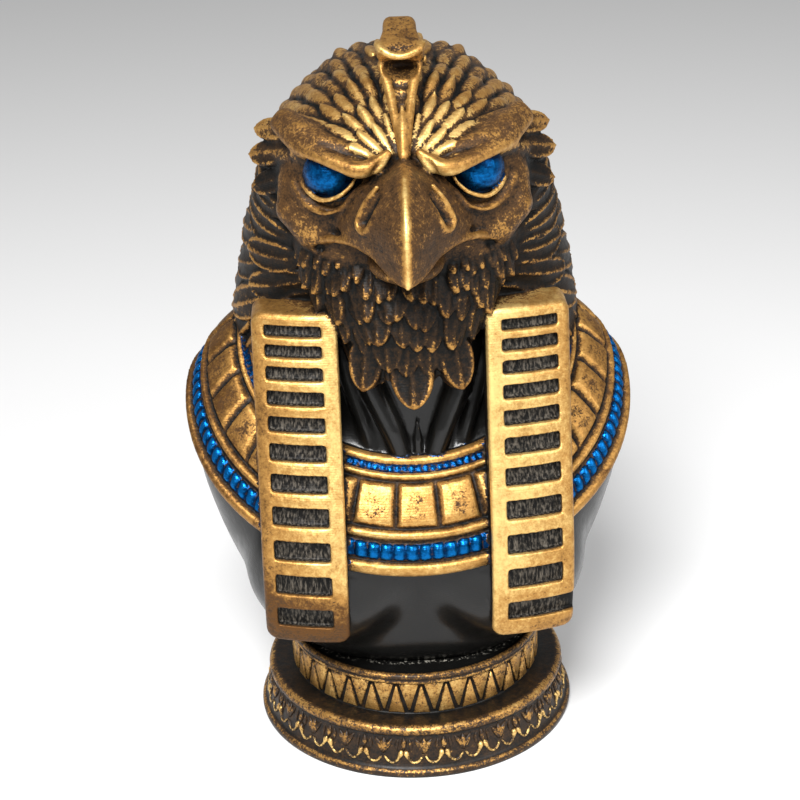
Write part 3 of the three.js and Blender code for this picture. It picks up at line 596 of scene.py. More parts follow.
solid_from_mesh(*beak_mesh(), BEAK, 0.9)
add(FACE_BOX, both_sides(rope(LIP, np.linspace(0.85, 0.5, len(LIP)))), BEAK, blend=0.9, on_head=True)
add([[-9, 9], [-41, -18], [102, 114]], ball((0, -28, 109), (7, 10, 3)), BEAK, blend=1, on_head=True)
MOUTH = curve([[16, -22.8, 110], [14, -26.2, 111.2], [12.2, -28.8, 111.8], [9.4, -32, 112]], 8)
carve(FACE_BOX, both_sides(rope(MOUTH, np.linspace(0.9, 0.5, len(MOUTH)))), blend=0.6, on_head=True)
FLANGE = curve([[4.9, -34.6, 125], [6.9, -34, 122.4], [8.3, -33.5, 119.6], [8.7, -33.6, 118],
                [8, -34.8, 117], [6.9, -36, 117.6], [6.2, -36.6, 119]], 18)
add(FACE_BOX, both_sides(rope(FLANGE, np.linspace(0.45, 0.5, 18))), BEAK, blend=0.5, on_head=True)
NOSTRIL = [[4.5, -35.8, 123.8], [6, -35.4, 121], [7.3, -34.9, 118.9]]
carve(FACE_BOX, both_sides(rope(NOSTRIL, [0.4, 0.75, 0.95])), blend=0.3, on_head=True)
ROOT_GAP = curve([[6.2, -29.6, 124.4], [5.2, -30.2, 126.8], [2.6, -29.8, 129.4], [0, -29, 130]], 12)
carve([[-9, 9], [-33, -25], [121, 133]], both_sides(rope(ROOT_GAP, np.linspace(0.4, 0.8, len(ROOT_GAP)))),
      blend=0.5, on_head=True)


# Beard: overlapping leaf feathers under the cheeks and the beak, larger towards the point.
# Each has a raised rim and a midrib, its root is covered by the row above and its tip stands off.
BEARD_RINGS = [[83, 4, -25.5, -5], [86, 9, -27, -5], [91, 12.5, -28, -5], [97, 16, -28, -5],
               [103, 19.5, -27, -5], [110, 21, -25, -5], [113, 20, -24, -5]]
BEARD_ROWS = [
    {"height": 112.6, "reach": 82, "count": 23, "length": 6, "width": 3},
    {"height": 109.4, "reach": 80, "count": 19, "length": 7, "width": 3.7},
    {"height": 105.6, "reach": 78, "count": 16, "length": 8, "width": 4.4},
    {"height": 101.6, "reach": 74, "count": 12, "length": 8.6, "width": 5.2},
    {"height": 97.6, "reach": 66, "count": 9, "length": 9, "width": 5.6},
    {"height": 94.2, "reach": 48, "count": 6, "length": 8.4, "width": 5.4},
]
LAST_LEAVES = [([0.3, -25.6, 91.5], [0.8, -30, 80.2], 8.4), ([8, -24.6, 93], [9.8, -27.2, 82.9], 6.8),
               ([-7.4, -24.6, 93], [-8.5, -27.2, 83.1], 6.8)]


add([[-24, 24], [-31, 2], [82, 114]], rings(BEARD_RINGS, 2), BEARD, blend=0.8, on_head=True)
beard_table = np.array(BEARD_RINGS)
leaves = [(np.array(root), np.array(tip), np.array([root[0] * 0.04, -1, 0]), width) for root, tip, width in LAST_LEAVES]
for row_number, row in enumerate(BEARD_ROWS):
    for i in range(row["count"]):
        share = (i + 0.5) / row["count"] * 2 - 1 if row_number % 2 else i / (row["count"] - 1) * 2 - 1
        angle = math.radians(row["reach"]) * share + chance.uniform(-0.03, 0.03)
        height = row["height"] + chance.uniform(-0.6, 0.6) - 1.2 * math.cos(angle)
        half_width, front, back = (np.interp(height, beard_table[:, 0], beard_table[:, k]) for k in (1, 2, 3))
        out = np.array([math.sin(angle), -math.cos(angle), 0])
        skin = np.array([0, (front + back) / 2, height]) + out * [half_width, (back - front) / 2, 0]
        length = row["length"] * chance.uniform(0.9, 1.15)
        under_height = height - length
        under = [np.interp(under_height, beard_table[:, 0], beard_table[:, k]) for k in (1, 2, 3)]
        under_skin = np.array([0, (under[1] + under[2]) / 2, under_height]) + out * [under[0], (under[2] - under[1]) / 2, 0]
        lean = chance.uniform(-0.14, 0.14) - 0.08 * math.sin(angle)
        leaves.append((skin - out * 1.3, under_skin + out * 1.1 + [lean * length, 0, 0], out,
                       row["width"] * chance.uniform(0.85, 1.15)))
for root, tip, out, width in leaves:
    middle = (root + tip) / 2
    reach = np.linalg.norm(tip - root) / 2 + 3
    add(box_round([middle], reach), leaf(root, tip, out, width, 1.1), BEARD, blend=0.08, on_head=True)


# Cobra: it rises from between the brows, spreads its hood with a rim on either side, and looks forwards.
# There is a dark hollow under its chin, and its neck runs back into the crown.
COBRA_LINE = curve([[0.2, -28.4, 129], [0, -24.8, 133.4], [-0.1, -19.8, 138], [-0.1, -16, 142.4]], 10)
COBRA_HALF = np.array([0.5, 0.6, 0.8, 1.1, 1.4, 1.7, 2.0, 2.4, 2.8, 3.2])
COBRA_HEAD_RINGS = smooth_table([[-17.6, 3.9, 143.6, 145.6], [-16.5, 4.3, 143, 146.3], [-14.5, 3.9, 143, 147.2],
                                 [-12, 3.2, 143, 148.5], [-9, 3, 142, 149.6], [-7.4, 2.7, 142, 149.7]])


def cobra_head(x, y, z):
    half, low, high = (np.interp(y, COBRA_HEAD_RINGS[:, 0], COBRA_HEAD_RINGS[:, i]) for i in (1, 2, 3))
    section = rounded_box(x, z - (low + high) / 2, half, (high - low) / 2, np.minimum(1.3, (high - low) / 2))
    return -soft_min(-section * 0.9, -np.maximum(-17.6 - y, y + 7.4), 1.6)


COBRA_BOX = [[-9, 9], [-31, 22], [124, 151]]
add(COBRA_BOX, rope(COBRA_LINE + [0, 2.6, 0], COBRA_HALF * 1.05 + 0.4, flat=0.55), COBRA, blend=0.6, on_head=True)
for side in (-1, 1):
    hood_edge = COBRA_LINE + np.stack([COBRA_HALF * side, np.full(10, 0.4), np.zeros(10)], axis=1)
    add(COBRA_BOX, rope(hood_edge, np.linspace(0.7, 0.95, 10)), COBRA, blend=0.7, on_head=True)
add(COBRA_BOX, rope([[0, -28.9, 129], [0, -25.2, 133.6], [0, -22.4, 136.4]], [0.8, 0.7, 0.3]), COBRA, 0.7, True)
add(COBRA_BOX, rope([[0, -8.5, 145.2], [0, 0, 141.8], [0, 16, 137.4]], [3, 3, 2]), COBRA, blend=2, on_head=True)
add(COBRA_BOX, rope([[0, -12, 139.5], [0, -8, 142], [0, 0, 140]], [1.8, 2.2, 2.4]), COBRA, blend=1.5, on_head=True)
add(COBRA_BOX, cobra_head, COBRA, blend=0.3, on_head=True)
COBRA_LIP = curve([[-4.1, -15.6, 146], [-3.4, -17.2, 145.4], [-1.6, -18, 144.5], [0, -18.1, 144.3], [1.6, -18, 144.6],
                   [3.4, -17.2, 145.4], [4.1, -15.6, 146]], 14)
add(COBRA_BOX, rope(COBRA_LIP, np.full(14, 0.7)), COBRA, blend=0.5, on_head=True)
carve(COBRA_BOX, ball((0, -18, 141.9), (3.5, 4.2, 1.7)), blend=0.4, on_head=True)


# Casting: the clay turned into one closed mesh, with its fine forms kept and its plain faces thinned out.
# Marks on its points say how far it stands out or lies back, and how each form is painted.
MOST_TRIANGLES = 195000


def blurred(field, reach):
    """The mean of a field over a cube of cells round each cell"""
    for axis in range(3):
        padded = np.concatenate([np.repeat(field.take([0], axis), reach + 1, axis), field,
                                 np.repeat(field.take([-1], axis), reach, axis)], axis)
        total = np.cumsum(padded, axis=axis, dtype=np.float32)
        size = field.shape[axis]
        upper = total.take(range(2 * reach + 1, 2 * reach + 1 + size), axis)
        field = (upper - total.take(range(size), axis)) / (2 * reach + 1)
    return field


def sampled(field, places):
    """A field's value at places between its cells"""
    first = np.clip(places.astype(int), 0, np.array(field.shape) - 2)
    part = places - first
    result = np.zeros(len(places), np.float32)
    for corner in range(8):
        step = [corner & 1, corner >> 1 & 1, corner >> 2]
        weight = np.prod(np.where(step, part, 1 - part), axis=1)
        i, j, k = (first + step).T
        result += weight * field[i, j, k]
    return result


def plain_object(name, points, faces):
    mesh = bpy.data.meshes.new(name)
    mesh.from_pydata(points, [], faces)
    piece = bpy.data.objects.new(name, mesh)
    bpy.context.scene.collection.objects.link(piece)
    return piece


clay[:, :, :2] = 5
flat_cut = 19.95 - lines[2][None, None, :]
clay = np.maximum(clay, flat_cut.astype(np.float32))
grid = openvdb.FloatGrid(5.0)
grid.copyFromArray(clay)
points, triangles, quads = grid.convertToPolygons(isovalue=0.0, adaptivity=0.0)
faces = np.vstack([quads[:, [0, 1, 2]], quads[:, [0, 2, 3]], triangles]) if len(triangles) else np.vstack(
    [quads[:, [0, 1, 2]], quads[:, [0, 2, 3]]])
corners = points[faces].astype(float)
if np.einsum("ij,ij->", corners[:, 0], np.cross(corners[:, 1], corners[:, 2])) < 0:
    faces = faces[:, ::-1]
mesh = bpy.data.meshes.new("fine")
mesh.vertices.add(len(points))
mesh.vertices.foreach_set("co", points.astype(np.float32).ravel())
mesh.loops.add(faces.size)
mesh.loops.foreach_set("vertex_index", faces.astype(np.int32).ravel())
mesh.polygons.add(len(faces))
mesh.polygons.foreach_set("loop_start", np.arange(0, faces.size, 3, dtype=np.int32))
mesh.update(calc_edges=True)
print("clay triangles", len(faces))
bust = bpy.data.objects.new("bust_casting", mesh)
bpy.context.scene.collection.objects.link(bust)
thin = bust.modifiers.new("thin", "DECIMATE")
thin.ratio = min(1, MOST_TRIANGLES / len(faces))
bust_mesh = bpy.data.meshes.new_from_object(bust.evaluated_get(bpy.context.evaluated_depsgraph_get()))
bust.modifiers.clear()
bust.data = bust_mesh
bust_mesh.name = "bust_casting"
print("casting triangles", len(bust_mesh.polygons))
places = np.empty(len(bust_mesh.vertices) * 3, np.float32)
bust_mesh.vertices.foreach_get("co", places)
places = places.reshape(-1, 3)
real = places * CELL + np.array([line[0] for line in lines])
bust_mesh.vertices.foreach_set("co", (real * 0.001).astype(np.float32).ravel())
for polygon in bust_mesh.polygons:
    polygon.use_smooth = True

# Paint on the casting: a black ground all over, with gold brushed over the raised forms so that the hollows
# stay dark, and metallic blue on the eyes and on two bands of the collar. Each mark is kept on the mesh's points.
COVER = {TORSO: -0.8, NECK: -0.8, COLLAR: 0.44, LAPPET: 0.44, MANE: 0.0, FACE: 0.08, BROW: 0.08, EYE: -0.6,
         LID: 0.22, BEAK: 0.08, BEARD: -0.12, COBRA: 0.28}
TONE = {TORSO: 0.3, NECK: 0.3, COLLAR: 0.5, LAPPET: 0.6, MANE: 0.25, FACE: 0.1, BROW: 0.2, EYE: 0.3,
        LID: 0.5, BEAK: 0.12, BEARD: 0.12, COBRA: 0.35}
BROWN = {TORSO: 0, NECK: 0, COLLAR: 0.85, LAPPET: 0.85, MANE: 0.2, FACE: 0.85, BROW: 0.95, EYE: 0,
         LID: 0.8, BEAK: 0.9, BEARD: 0.35, COBRA: 0.5}


def near_line(spots, line, reach):
    """How near each spot lies to a line of points, from 1 on it to 0 far away"""
    line = np.array(line, float)
    nearest = np.full(len(spots), 1e9)
    for a, b in zip(line, line[1:]):
        t = np.clip((spots - a) @ (b - a) / ((b - a) @ (b - a)), 0, 1)
        nearest = np.minimum(nearest, np.linalg.norm(spots - a - t[:, None] * (b - a), axis=1))
    return np.exp(-(nearest / reach) ** 2)


def keep_mark(mesh, name, values):
    mark = mesh.attributes.new(name, "FLOAT", "POINT")
    mark.data.foreach_set("value", values.astype(np.float32))


cells = np.clip(np.rint(places).astype(int), 0, np.array(clay.shape) - 1)
form = form_of[cells[:, 0], cells[:, 1], cells[:, 2]]
edge = sampled(blurred(clay, round(0.8 / CELL)) - clay, places)
relief = sampled(blurred(clay, round(2.4 / CELL)) - clay, places)


def by_form(table):
    """A value for each point from the form it is on, blended over a cell where two forms meet"""
    values = np.array([table[i] for i in range(12)], np.float32)
    return sampled(values[form_of], places)


cover, tone, brown = by_form(COVER), by_form(TONE), by_form(BROWN)
head_x, head_y = to_head(real[:, 0], real[:, 1])
spots = np.stack([np.abs(head_x), head_y, real[:, 2]], axis=1)
on_beak = form == BEAK
# Painted highlight: a bright, pale gold line down the middle of the beak's ridge, from partway along it to the hook
ridge = np.exp(-(head_x / 0.62) ** 2) * on_beak * smooth_step(-real[:, 1], 33, 39)
cover += ridge * 1.0
tone += ridge * 0.75
brow_edge = near_line(spots, BROW_RIDGE + [0, -0.9, -1.3], 1.3)
inner_brow = smooth_step(-spots[:, 0], -15, -5)
cover += (brow_edge * 0.42 + inner_brow * 0.2) * (form == BROW)
tone += brow_edge * (0.2 + 0.45 * inner_brow) * (form == BROW)
# Painted highlight: brighter, paler gold along each cheek's ridge
cheek_highlight = near_line(spots, [[21.9, -16, 121], [21.6, -17.5, 117.4], [19, -20, 115], [16.4, -23, 113.4]], 2)
cover += cheek_highlight * 0.3 * (form == FACE)
tone += cheek_highlight * 0.3 * (form == FACE)
front = near_line(spots, [[0, -29, 128], [2, -27, 131], [9, -26.5, 130]], 9)
cover += front * 0.3 * (form == MANE)
tone += front * 0.45 * (form == MANE)
crown = smooth_step(real[:, 2], 120, 133) * (form == MANE)
cover += crown * 0.34
tone += crown * 0.22
brown += crown * 0.5
lifted_here = sampled(lifted, places)
cover += (form == MANE) * 0.16 * (lifted_here - 0.9)
lip_line = near_line(spots, LIP + [0, 0, -0.2], 0.9) * on_beak
cover += lip_line * 0.32
tone += lip_line * 0.15
flange = near_line(spots, FLANGE, 0.7) * on_beak
cover += flange * 0.3
tone += flange * 0.2
cobra_lip = near_line(spots, COBRA_LIP, 0.9) * (form == COBRA)
cover += cobra_lip * 0.3
tone += cobra_lip * 0.45
angle, share, rise, width = collar_place(real[:, 0].astype(float), real[:, 1].astype(float), real[:, 2].astype(float))
on_collar = form == COLLAR
# Painted shade: the collar's gold thins and dulls towards its sides, more on the left than on the right
aside = smooth_step(np.abs(real[:, 0]), 24, 42) * on_collar
cover -= aside * np.where(real[:, 0] > 0, 0.1, 0.22)
tone -= aside * np.where(real[:, 0] > 0, 0.3, 0.45)
share = np.where(on_collar, share, 0.3)
blue = np.where(form == EYE, 1.0, 0.0)
slot_share, slot_depth = lappet_place(real[:, 0], real[:, 1], real[:, 2])
on_lappet = form == LAPPET
in_slot = on_lappet * smooth_step(slot_depth, 0.7, 1.3) * (real[:, 2] < LAPPET_TOP - 1.5)
# Painted light and shade on the lappets: the gold thins and dulls towards each one's outer edge and its foot, the left
# foot much more than the right, and the right lappet is painted a little lighter than the left
shade_outwards = np.clip(slot_share, 0, 1)
shade_near_foot = smooth_step(-real[:, 2], -52, -34) * np.where(real[:, 0] > 0, 0.7, 2.2)
cover += on_lappet * (0.12 - 0.16 * shade_outwards - 0.16 * shade_near_foot + np.where(real[:, 0] > 0, 0.05, 0)) - in_slot
tone += on_lappet * (0.25 - 0.45 * shade_outwards - 0.4 * shade_near_foot + np.where(real[:, 0] > 0, 0.1, -0.05))
brown -= in_slot * 0.5
# Grey streaks on the slot floors: partly dust, partly a painted sheen
dust_and_sheen = in_slot * (np.abs(slot_share - 0.52) < 0.36)
keep_mark(bust_mesh, "dust_and_sheen", dust_and_sheen)
gloss = by_form({i: float(i in (TORSO, NECK)) for i in range(12)})
for name, values in (("cover", cover), ("tone", tone), ("brown", brown), ("edge", edge), ("relief", relief),
                     ("blue", blue), ("collar_share", share), ("gloss", gloss)):
    keep_mark(bust_mesh, name, values)


def add_node(tree, kind, values=None, **settings):
    """A node with its settings, and its inputs set to values or joined to other nodes' outputs"""
    node = tree.nodes.new(kind)
    for key, value in settings.items():
        setattr(node, key, value)
    for key, value in (values or {}).items():
        if isinstance(value, bpy.types.NodeSocket):
            tree.links.new(value, node.inputs[key])
        else:
            node.inputs[key].default_value = value
    return node


def reckon(tree, operation, *values, clamp=False):
    """A Math node's result"""
    node = add_node(tree, "ShaderNodeMath", dict(enumerate(values)), operation=operation, use_clamp=clamp)
    return node.outputs[0]


def ramp(tree, value, low, high):
    """0 below low, 1 above high, smooth between"""
    node = add_node(tree, "ShaderNodeMapRange", {"Value": value, "From Min": low, "From Max": high},
                    interpolation_type="SMOOTHSTEP")
    return node.outputs["Result"]


def blend_colours(tree, share, first, second):
    node = add_node(tree, "ShaderNodeMix", {0: share, 6: first, 7: second}, data_type="RGBA")
    return node.outputs[2]


def speckle(tree, place, size, detail=3.0, stretch=None):
    """Cloudy specks of a size in millimetres"""
    if stretch:
        place = add_node(tree, "ShaderNodeMapping", {"Vector": place, "Scale": stretch}).outputs[0]
    node = add_node(tree, "ShaderNodeTexNoise", {"Vector": place, "Scale": 1000 / size, "Detail": detail,
                                                 "Roughness": 0.6})
    return node.outputs[0]


def new_group(name, inputs, outputs):
    """A shader node group with its sockets, and its input and output nodes"""
    tree = bpy.data.node_groups.new(name, "ShaderNodeTree")
    for label, kind, value in inputs:
        socket = tree.interface.new_socket(label, in_out="INPUT", socket_type=kind)
        if value is not None:
            socket.default_value = value
    for label, kind in outputs:
        tree.interface.new_socket(label, in_out="OUTPUT", socket_type=kind)
    return tree, tree.nodes.new("NodeGroupInput").outputs, tree.nodes.new("NodeGroupOutput").inputs


# Dry brushing: gold paint caught on what stands out, stippled and streaked, over brown and black
brushing, given, result = new_group(
    "dry_brushing",
    [("Place", "NodeSocketVector", None), ("Cover", "NodeSocketFloat", 0.5), ("Tone", "NodeSocketFloat", 0.5),
     ("Brown", "NodeSocketFloat", 0.3), ("Edge", "NodeSocketFloat", 0.0), ("Relief", "NodeSocketFloat", 0.0)],
    [("Gold", "NodeSocketFloat"), ("Colour", "NodeSocketColor"), ("Height", "NodeSocketFloat")])
mottle = speckle(brushing, given["Place"], 1.2, 4)
stipple = speckle(brushing, given["Place"], 0.4, 2)
streaks = speckle(brushing, given["Place"], 1.6, 3, (0.35, 0.35, 1.6))
patches = speckle(brushing, given["Place"], 9, 2)
level = reckon(brushing, "MULTIPLY_ADD", given["Edge"], 1.8, given["Cover"])
level = reckon(brushing, "MULTIPLY_ADD", given["Relief"], 0.25, level)
for layer, amount in ((mottle, 0.9), (stipple, 1.1), (streaks, 0.6), (patches, 0.3)):
    level = reckon(brushing, "MULTIPLY_ADD", reckon(brushing, "SUBTRACT", layer, 0.5), amount, level)
gold = ramp(brushing, level, 0.22, 0.54)
hue = reckon(brushing, "MULTIPLY_ADD", reckon(brushing, "SUBTRACT", patches, 0.5), 0.8, given["Tone"])
hue = reckon(brushing, "MULTIPLY_ADD", reckon(brushing, "SUBTRACT", mottle, 0.5), 0.9, hue)
hue = reckon(brushing, "MULTIPLY_ADD", reckon(brushing, "SUBTRACT", stipple, 0.5), 0.6, hue)
hue = reckon(brushing, "MULTIPLY_ADD", given["Edge"], 0.6, hue)
dull_gold = blend_colours(brushing, ramp(brushing, hue, 0.0, 0.55), (0.12, 0.055, 0.018, 1), (0.42, 0.22, 0.06, 1))
gold_colour = blend_colours(brushing, ramp(brushing, hue, 0.45, 1.1), dull_gold, (0.8, 0.55, 0.2, 1))
ground_share = reckon(brushing, "MULTIPLY", given["Brown"], ramp(brushing, level, -0.4, 0.3))
ground = blend_colours(brushing, ground_share, (0.004, 0.0038, 0.0034, 1), (0.07, 0.034, 0.012, 1))
for source, target in ((gold, "Gold"), (blend_colours(brushing, gold, ground, gold_colour), "Colour"),
                       (reckon(brushing, "MULTIPLY_ADD", gold, 0.35, mottle), "Height")):
    brushing.links.new(source, result[target])

# Cast surface: faint level lines in the form that the mould was made from, and a fine grain
grain, given, result = new_group(
    "cast_surface", [("Place", "NodeSocketVector", None), ("Height", "NodeSocketFloat", 0.0)],
    [("Height", "NodeSocketFloat"), ("Roughness", "NodeSocketFloat")])
up_down = add_node(grain, "ShaderNodeSeparateXYZ", {0: given["Place"]}).outputs["Z"]
layers = reckon(grain, "SINE", reckon(grain, "MULTIPLY", up_down, 2 * math.pi / 0.00045))
fine = speckle(grain, given["Place"], 0.5, 3)
height = reckon(grain, "MULTIPLY_ADD", layers, 0.06, reckon(grain, "MULTIPLY_ADD", fine, 0.5, given["Height"]))
grain.links.new(height, result["Height"])
grain.links.new(reckon(grain, "MULTIPLY_ADD", speckle(grain, given["Place"], 2.5, 3), 0.3, -0.15), result["Roughness"])

paint = bpy.data.materials.new("painted_casting")
paint.use_nodes = True
tree = paint.node_tree
tree.nodes.clear()


def mark(name):
    return add_node(tree, "ShaderNodeAttribute", attribute_name=name).outputs["Fac"]


place = add_node(tree, "ShaderNodeTexCoord").outputs["Object"]
brushed = add_node(tree, "ShaderNodeGroup", node_tree=brushing)
tree.links.new(place, brushed.inputs["Place"])
for name, target in (("cover", "Cover"), ("tone", "Tone"), ("brown", "Brown"), ("edge", "Edge"), ("relief", "Relief")):
    tree.links.new(mark(name), brushed.inputs[target])
share = mark("collar_share")
wander = reckon(tree, "MULTIPLY_ADD", speckle(tree, place, 1.5, 2), 0.02, -0.01)
share = reckon(tree, "ADD", share, wander)
bands = None
for low, high in ((0.078, 0.148), (0.722, 0.882)):
    inside = reckon(tree, "MULTIPLY", ramp(tree, share, low - 0.004, low + 0.004),
                    reckon(tree, "SUBTRACT", 1.0, ramp(tree, share, high - 0.004, high + 0.004)))
    bands = inside if bands is None else reckon(tree, "ADD", bands, inside)
blue = reckon(tree, "MAXIMUM", bands, ramp(tree, mark("blue"), 0.4, 0.6))
edge = mark("edge")
blue_tone = reckon(tree, "MULTIPLY_ADD", edge, 1.6, speckle(tree, place, 0.8, 4))
blue_colour = blend_colours(tree, ramp(tree, blue_tone, 0.3, 0.85), (0.0, 0.016, 0.06, 1), (0.002, 0.11, 0.34, 1))
worn = reckon(tree, "MULTIPLY", blue, ramp(tree, reckon(tree, "MULTIPLY_ADD", edge, 1.2, blue_tone), -0.1, 0.12))
# Grey streaks on the lappets' slot floors, partly dust and partly a painted sheen
dust_and_sheen_streaks = ramp(tree, speckle(tree, place, 0.7, 4, (1.6, 1.6, 0.4)), 0.42, 0.74)
dust_and_sheen_share = reckon(tree, "MULTIPLY", mark("dust_and_sheen"), dust_and_sheen_streaks)
colour = blend_colours(tree, dust_and_sheen_share, brushed.outputs["Colour"], (0.11, 0.095, 0.075, 1))
colour = blend_colours(tree, worn, colour, blue_colour)
surface = add_node(tree, "ShaderNodeGroup", {"Place": place, "Height": brushed.outputs["Height"]}, node_tree=grain)
gold_share = reckon(tree, "MULTIPLY", brushed.outputs["Gold"], reckon(tree, "SUBTRACT", 1.0, worn))
metal = reckon(tree, "MAXIMUM", reckon(tree, "MULTIPLY", gold_share, 0.8), reckon(tree, "MULTIPLY", worn, 0.8))
rough = reckon(tree, "MULTIPLY_ADD", mark("gloss"), -0.1, surface.outputs["Roughness"])
rough = reckon(tree, "ADD", rough, reckon(tree, "MULTIPLY_ADD", worn, -0.15, 0.46), clamp=True)
bump = add_node(tree, "ShaderNodeBump", {"Height": surface.outputs["Height"], "Strength": 0.5, "Distance": 0.00014})
shader = add_node(tree, "ShaderNodeBsdfPrincipled", {"Base Color": colour, "Metallic": metal, "Roughness": rough,
                                                     "Coat Weight": reckon(tree, "MULTIPLY", mark("gloss"), 0.45),
                                                     "Normal": bump.outputs[0]})
shader.inputs["Specular IOR Level"].default_value = 0.12
shader.inputs["Coat Roughness"].default_value = 0.2
output = add_node(tree, "ShaderNodeOutputMaterial", {"Surface": shader.outputs[0]})
bust_mesh.materials.clear()
bust_mesh.materials.append(paint)
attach(bust, "root")
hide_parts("bust")


# Plinth: a moulded base cast in one, black with gold and bronze brushed over its ornament.
# The body is turned from its profile; each row gives radius, height, gold cover and brightness of the gold.
PLINTH_PROFILE = [
    [0, 0, -0.6, 0.2], [33.2, 0, -0.6, 0.2], [33.5, 0.15, -0.2, 0.3], [33.58, 0.5, 0.1, 0.3], [33.58, 1.0, 0.15, 0.3],
    [33.4, 1.35, 0.35, 0.4], [33.0, 1.55, 0.35, 0.4], [32.75, 1.75, -0.2, 0.2], [32.45, 2.0, -0.15, 0.2],
    [32.1, 3.5, -0.1, 0.2], [31.7, 5, 0.0, 0.2], [31.3, 6.5, 0.0, 0.2], [31.05, 7.9, -0.1, 0.2], [30.95, 8.35, -0.3, 0.2],
    [31.1, 8.6, 0.1, 0.2], [31.45, 8.85, 0.25, 0.25], [31.65, 9.2, 0.3, 0.3], [31.68, 9.6, 0.35, 0.35],
    [31.55, 10.0, 0.42, 0.45], [31.25, 10.35, 0.5, 0.55], [30.85, 10.6, 0.4, 0.5], [30.4, 10.7, 0.1, 0.3],
    [30.0, 10.65, -0.15, 0.2], [28, 10.6, -0.2, 0.2], [26.4, 10.6, -0.35, 0.2], [26.05, 10.7, -0.4, 0.2],
    [26.0, 11.0, -0.3, 0.2], [26.0, 14, -0.3, 0.2], [26.0, 17.6, -0.3, 0.2], [26.2, 17.75, 0.2, 0.5],
    [26.5, 17.9, 0.45, 0.6], [26.5, 18.3, 0.4, 0.5], [26.3, 18.55, 0.0, 0.3], [26.25, 18.75, -0.2, 0.2],
    [26.6, 18.9, 0.1, 0.2], [26.82, 19.2, 0.25, 0.3], [26.86, 19.5, 0.3, 0.3], [26.7, 19.85, 0.4, 0.4],
    [26.3, 20.1, 0.4, 0.4], [25.85, 20.1, 0.2, 0.3], [25.55, 19.85, -0.3, 0.2], [25.4, 19.62, -0.6, 0.2],
    [24.5, 19.6, -0.7, 0.2], [0, 19.6, -0.7, 0.2],
]
PLINTH_SIDES = 180
DRUM_WALL = 26.0
FRIEZE_WALL = (32.45, 2.0, -0.236)


def turned(profile, sides):
    """A profile turned round the upright axis, closed at both of its ends on the axis"""
    rows = np.array(profile)[1:-1]
    turns = np.arange(sides) / sides * 2 * math.pi
    points = [[r * math.sin(a), -r * math.cos(a), z] for r, z in rows[:, :2] for a in turns]
    faces = []
    for i in range(len(rows) - 1):
        for j in range(sides):
            k = (j + 1) % sides
            faces.append((i * sides + j, i * sides + k, (i + 1) * sides + k, (i + 1) * sides + j))
    for row, end in ((0, profile[0]), (len(rows) - 1, profile[-1])):
        points.append([0, 0, end[1]])
        for j in range(sides):
            k = (j + 1) % sides
            ring = (row * sides + j, row * sides + k)
            faces.append((len(points) - 1, *(reversed(ring) if row == 0 else ring)))
    return np.array(points) * 0.001, faces


def tube(path, radii, flat, sides=8):
    """A closed bar along a path on the wall, thick out of the wall by its radius times flat"""
    path = curve([[x, 0, z] for x, z in path], len(radii))
    along = np.gradient(path, axis=0)
    along /= np.linalg.norm(along, axis=1)[:, None]
    turns = np.arange(sides) / sides * 2 * math.pi
    points = []
    for centre, way, radius in zip(path, along, radii):
        for a in turns:
            aside = radius * math.cos(a)
            points.append(centre + np.array([way[2] * aside, -radius * flat * math.sin(a), -way[0] * aside]))
    faces = [tuple(reversed(range(sides))), tuple(range(len(points) - sides, len(points)))]
    for i in range(len(path) - 1):
        for j in range(sides):
            k = (j + 1) % sides
            faces.append((i * sides + j, i * sides + k, (i + 1) * sides + k, (i + 1) * sides + j))
    return points, faces


def tile(outline, height):
    """A flat tile on the wall with a sloping edge all round"""
    outline = np.array(outline, float)
    middle = outline.mean(0)
    count = len(outline)
    points = []
    for depth, grown in ((0.4, 1.0), (-height * 0.6, 0.97), (-height, 0.86)):
        points += [[x, depth, z] for x, z in middle + (outline - middle) * grown]
    faces = [tuple(range(count)), tuple(reversed(range(2 * count, 3 * count)))]
    for i in range(2):
        for j in range(count):
            k = (j + 1) % count
            faces.append((i * count + j, (i + 1) * count + j, (i + 1) * count + k, i * count + k))
    return points, faces


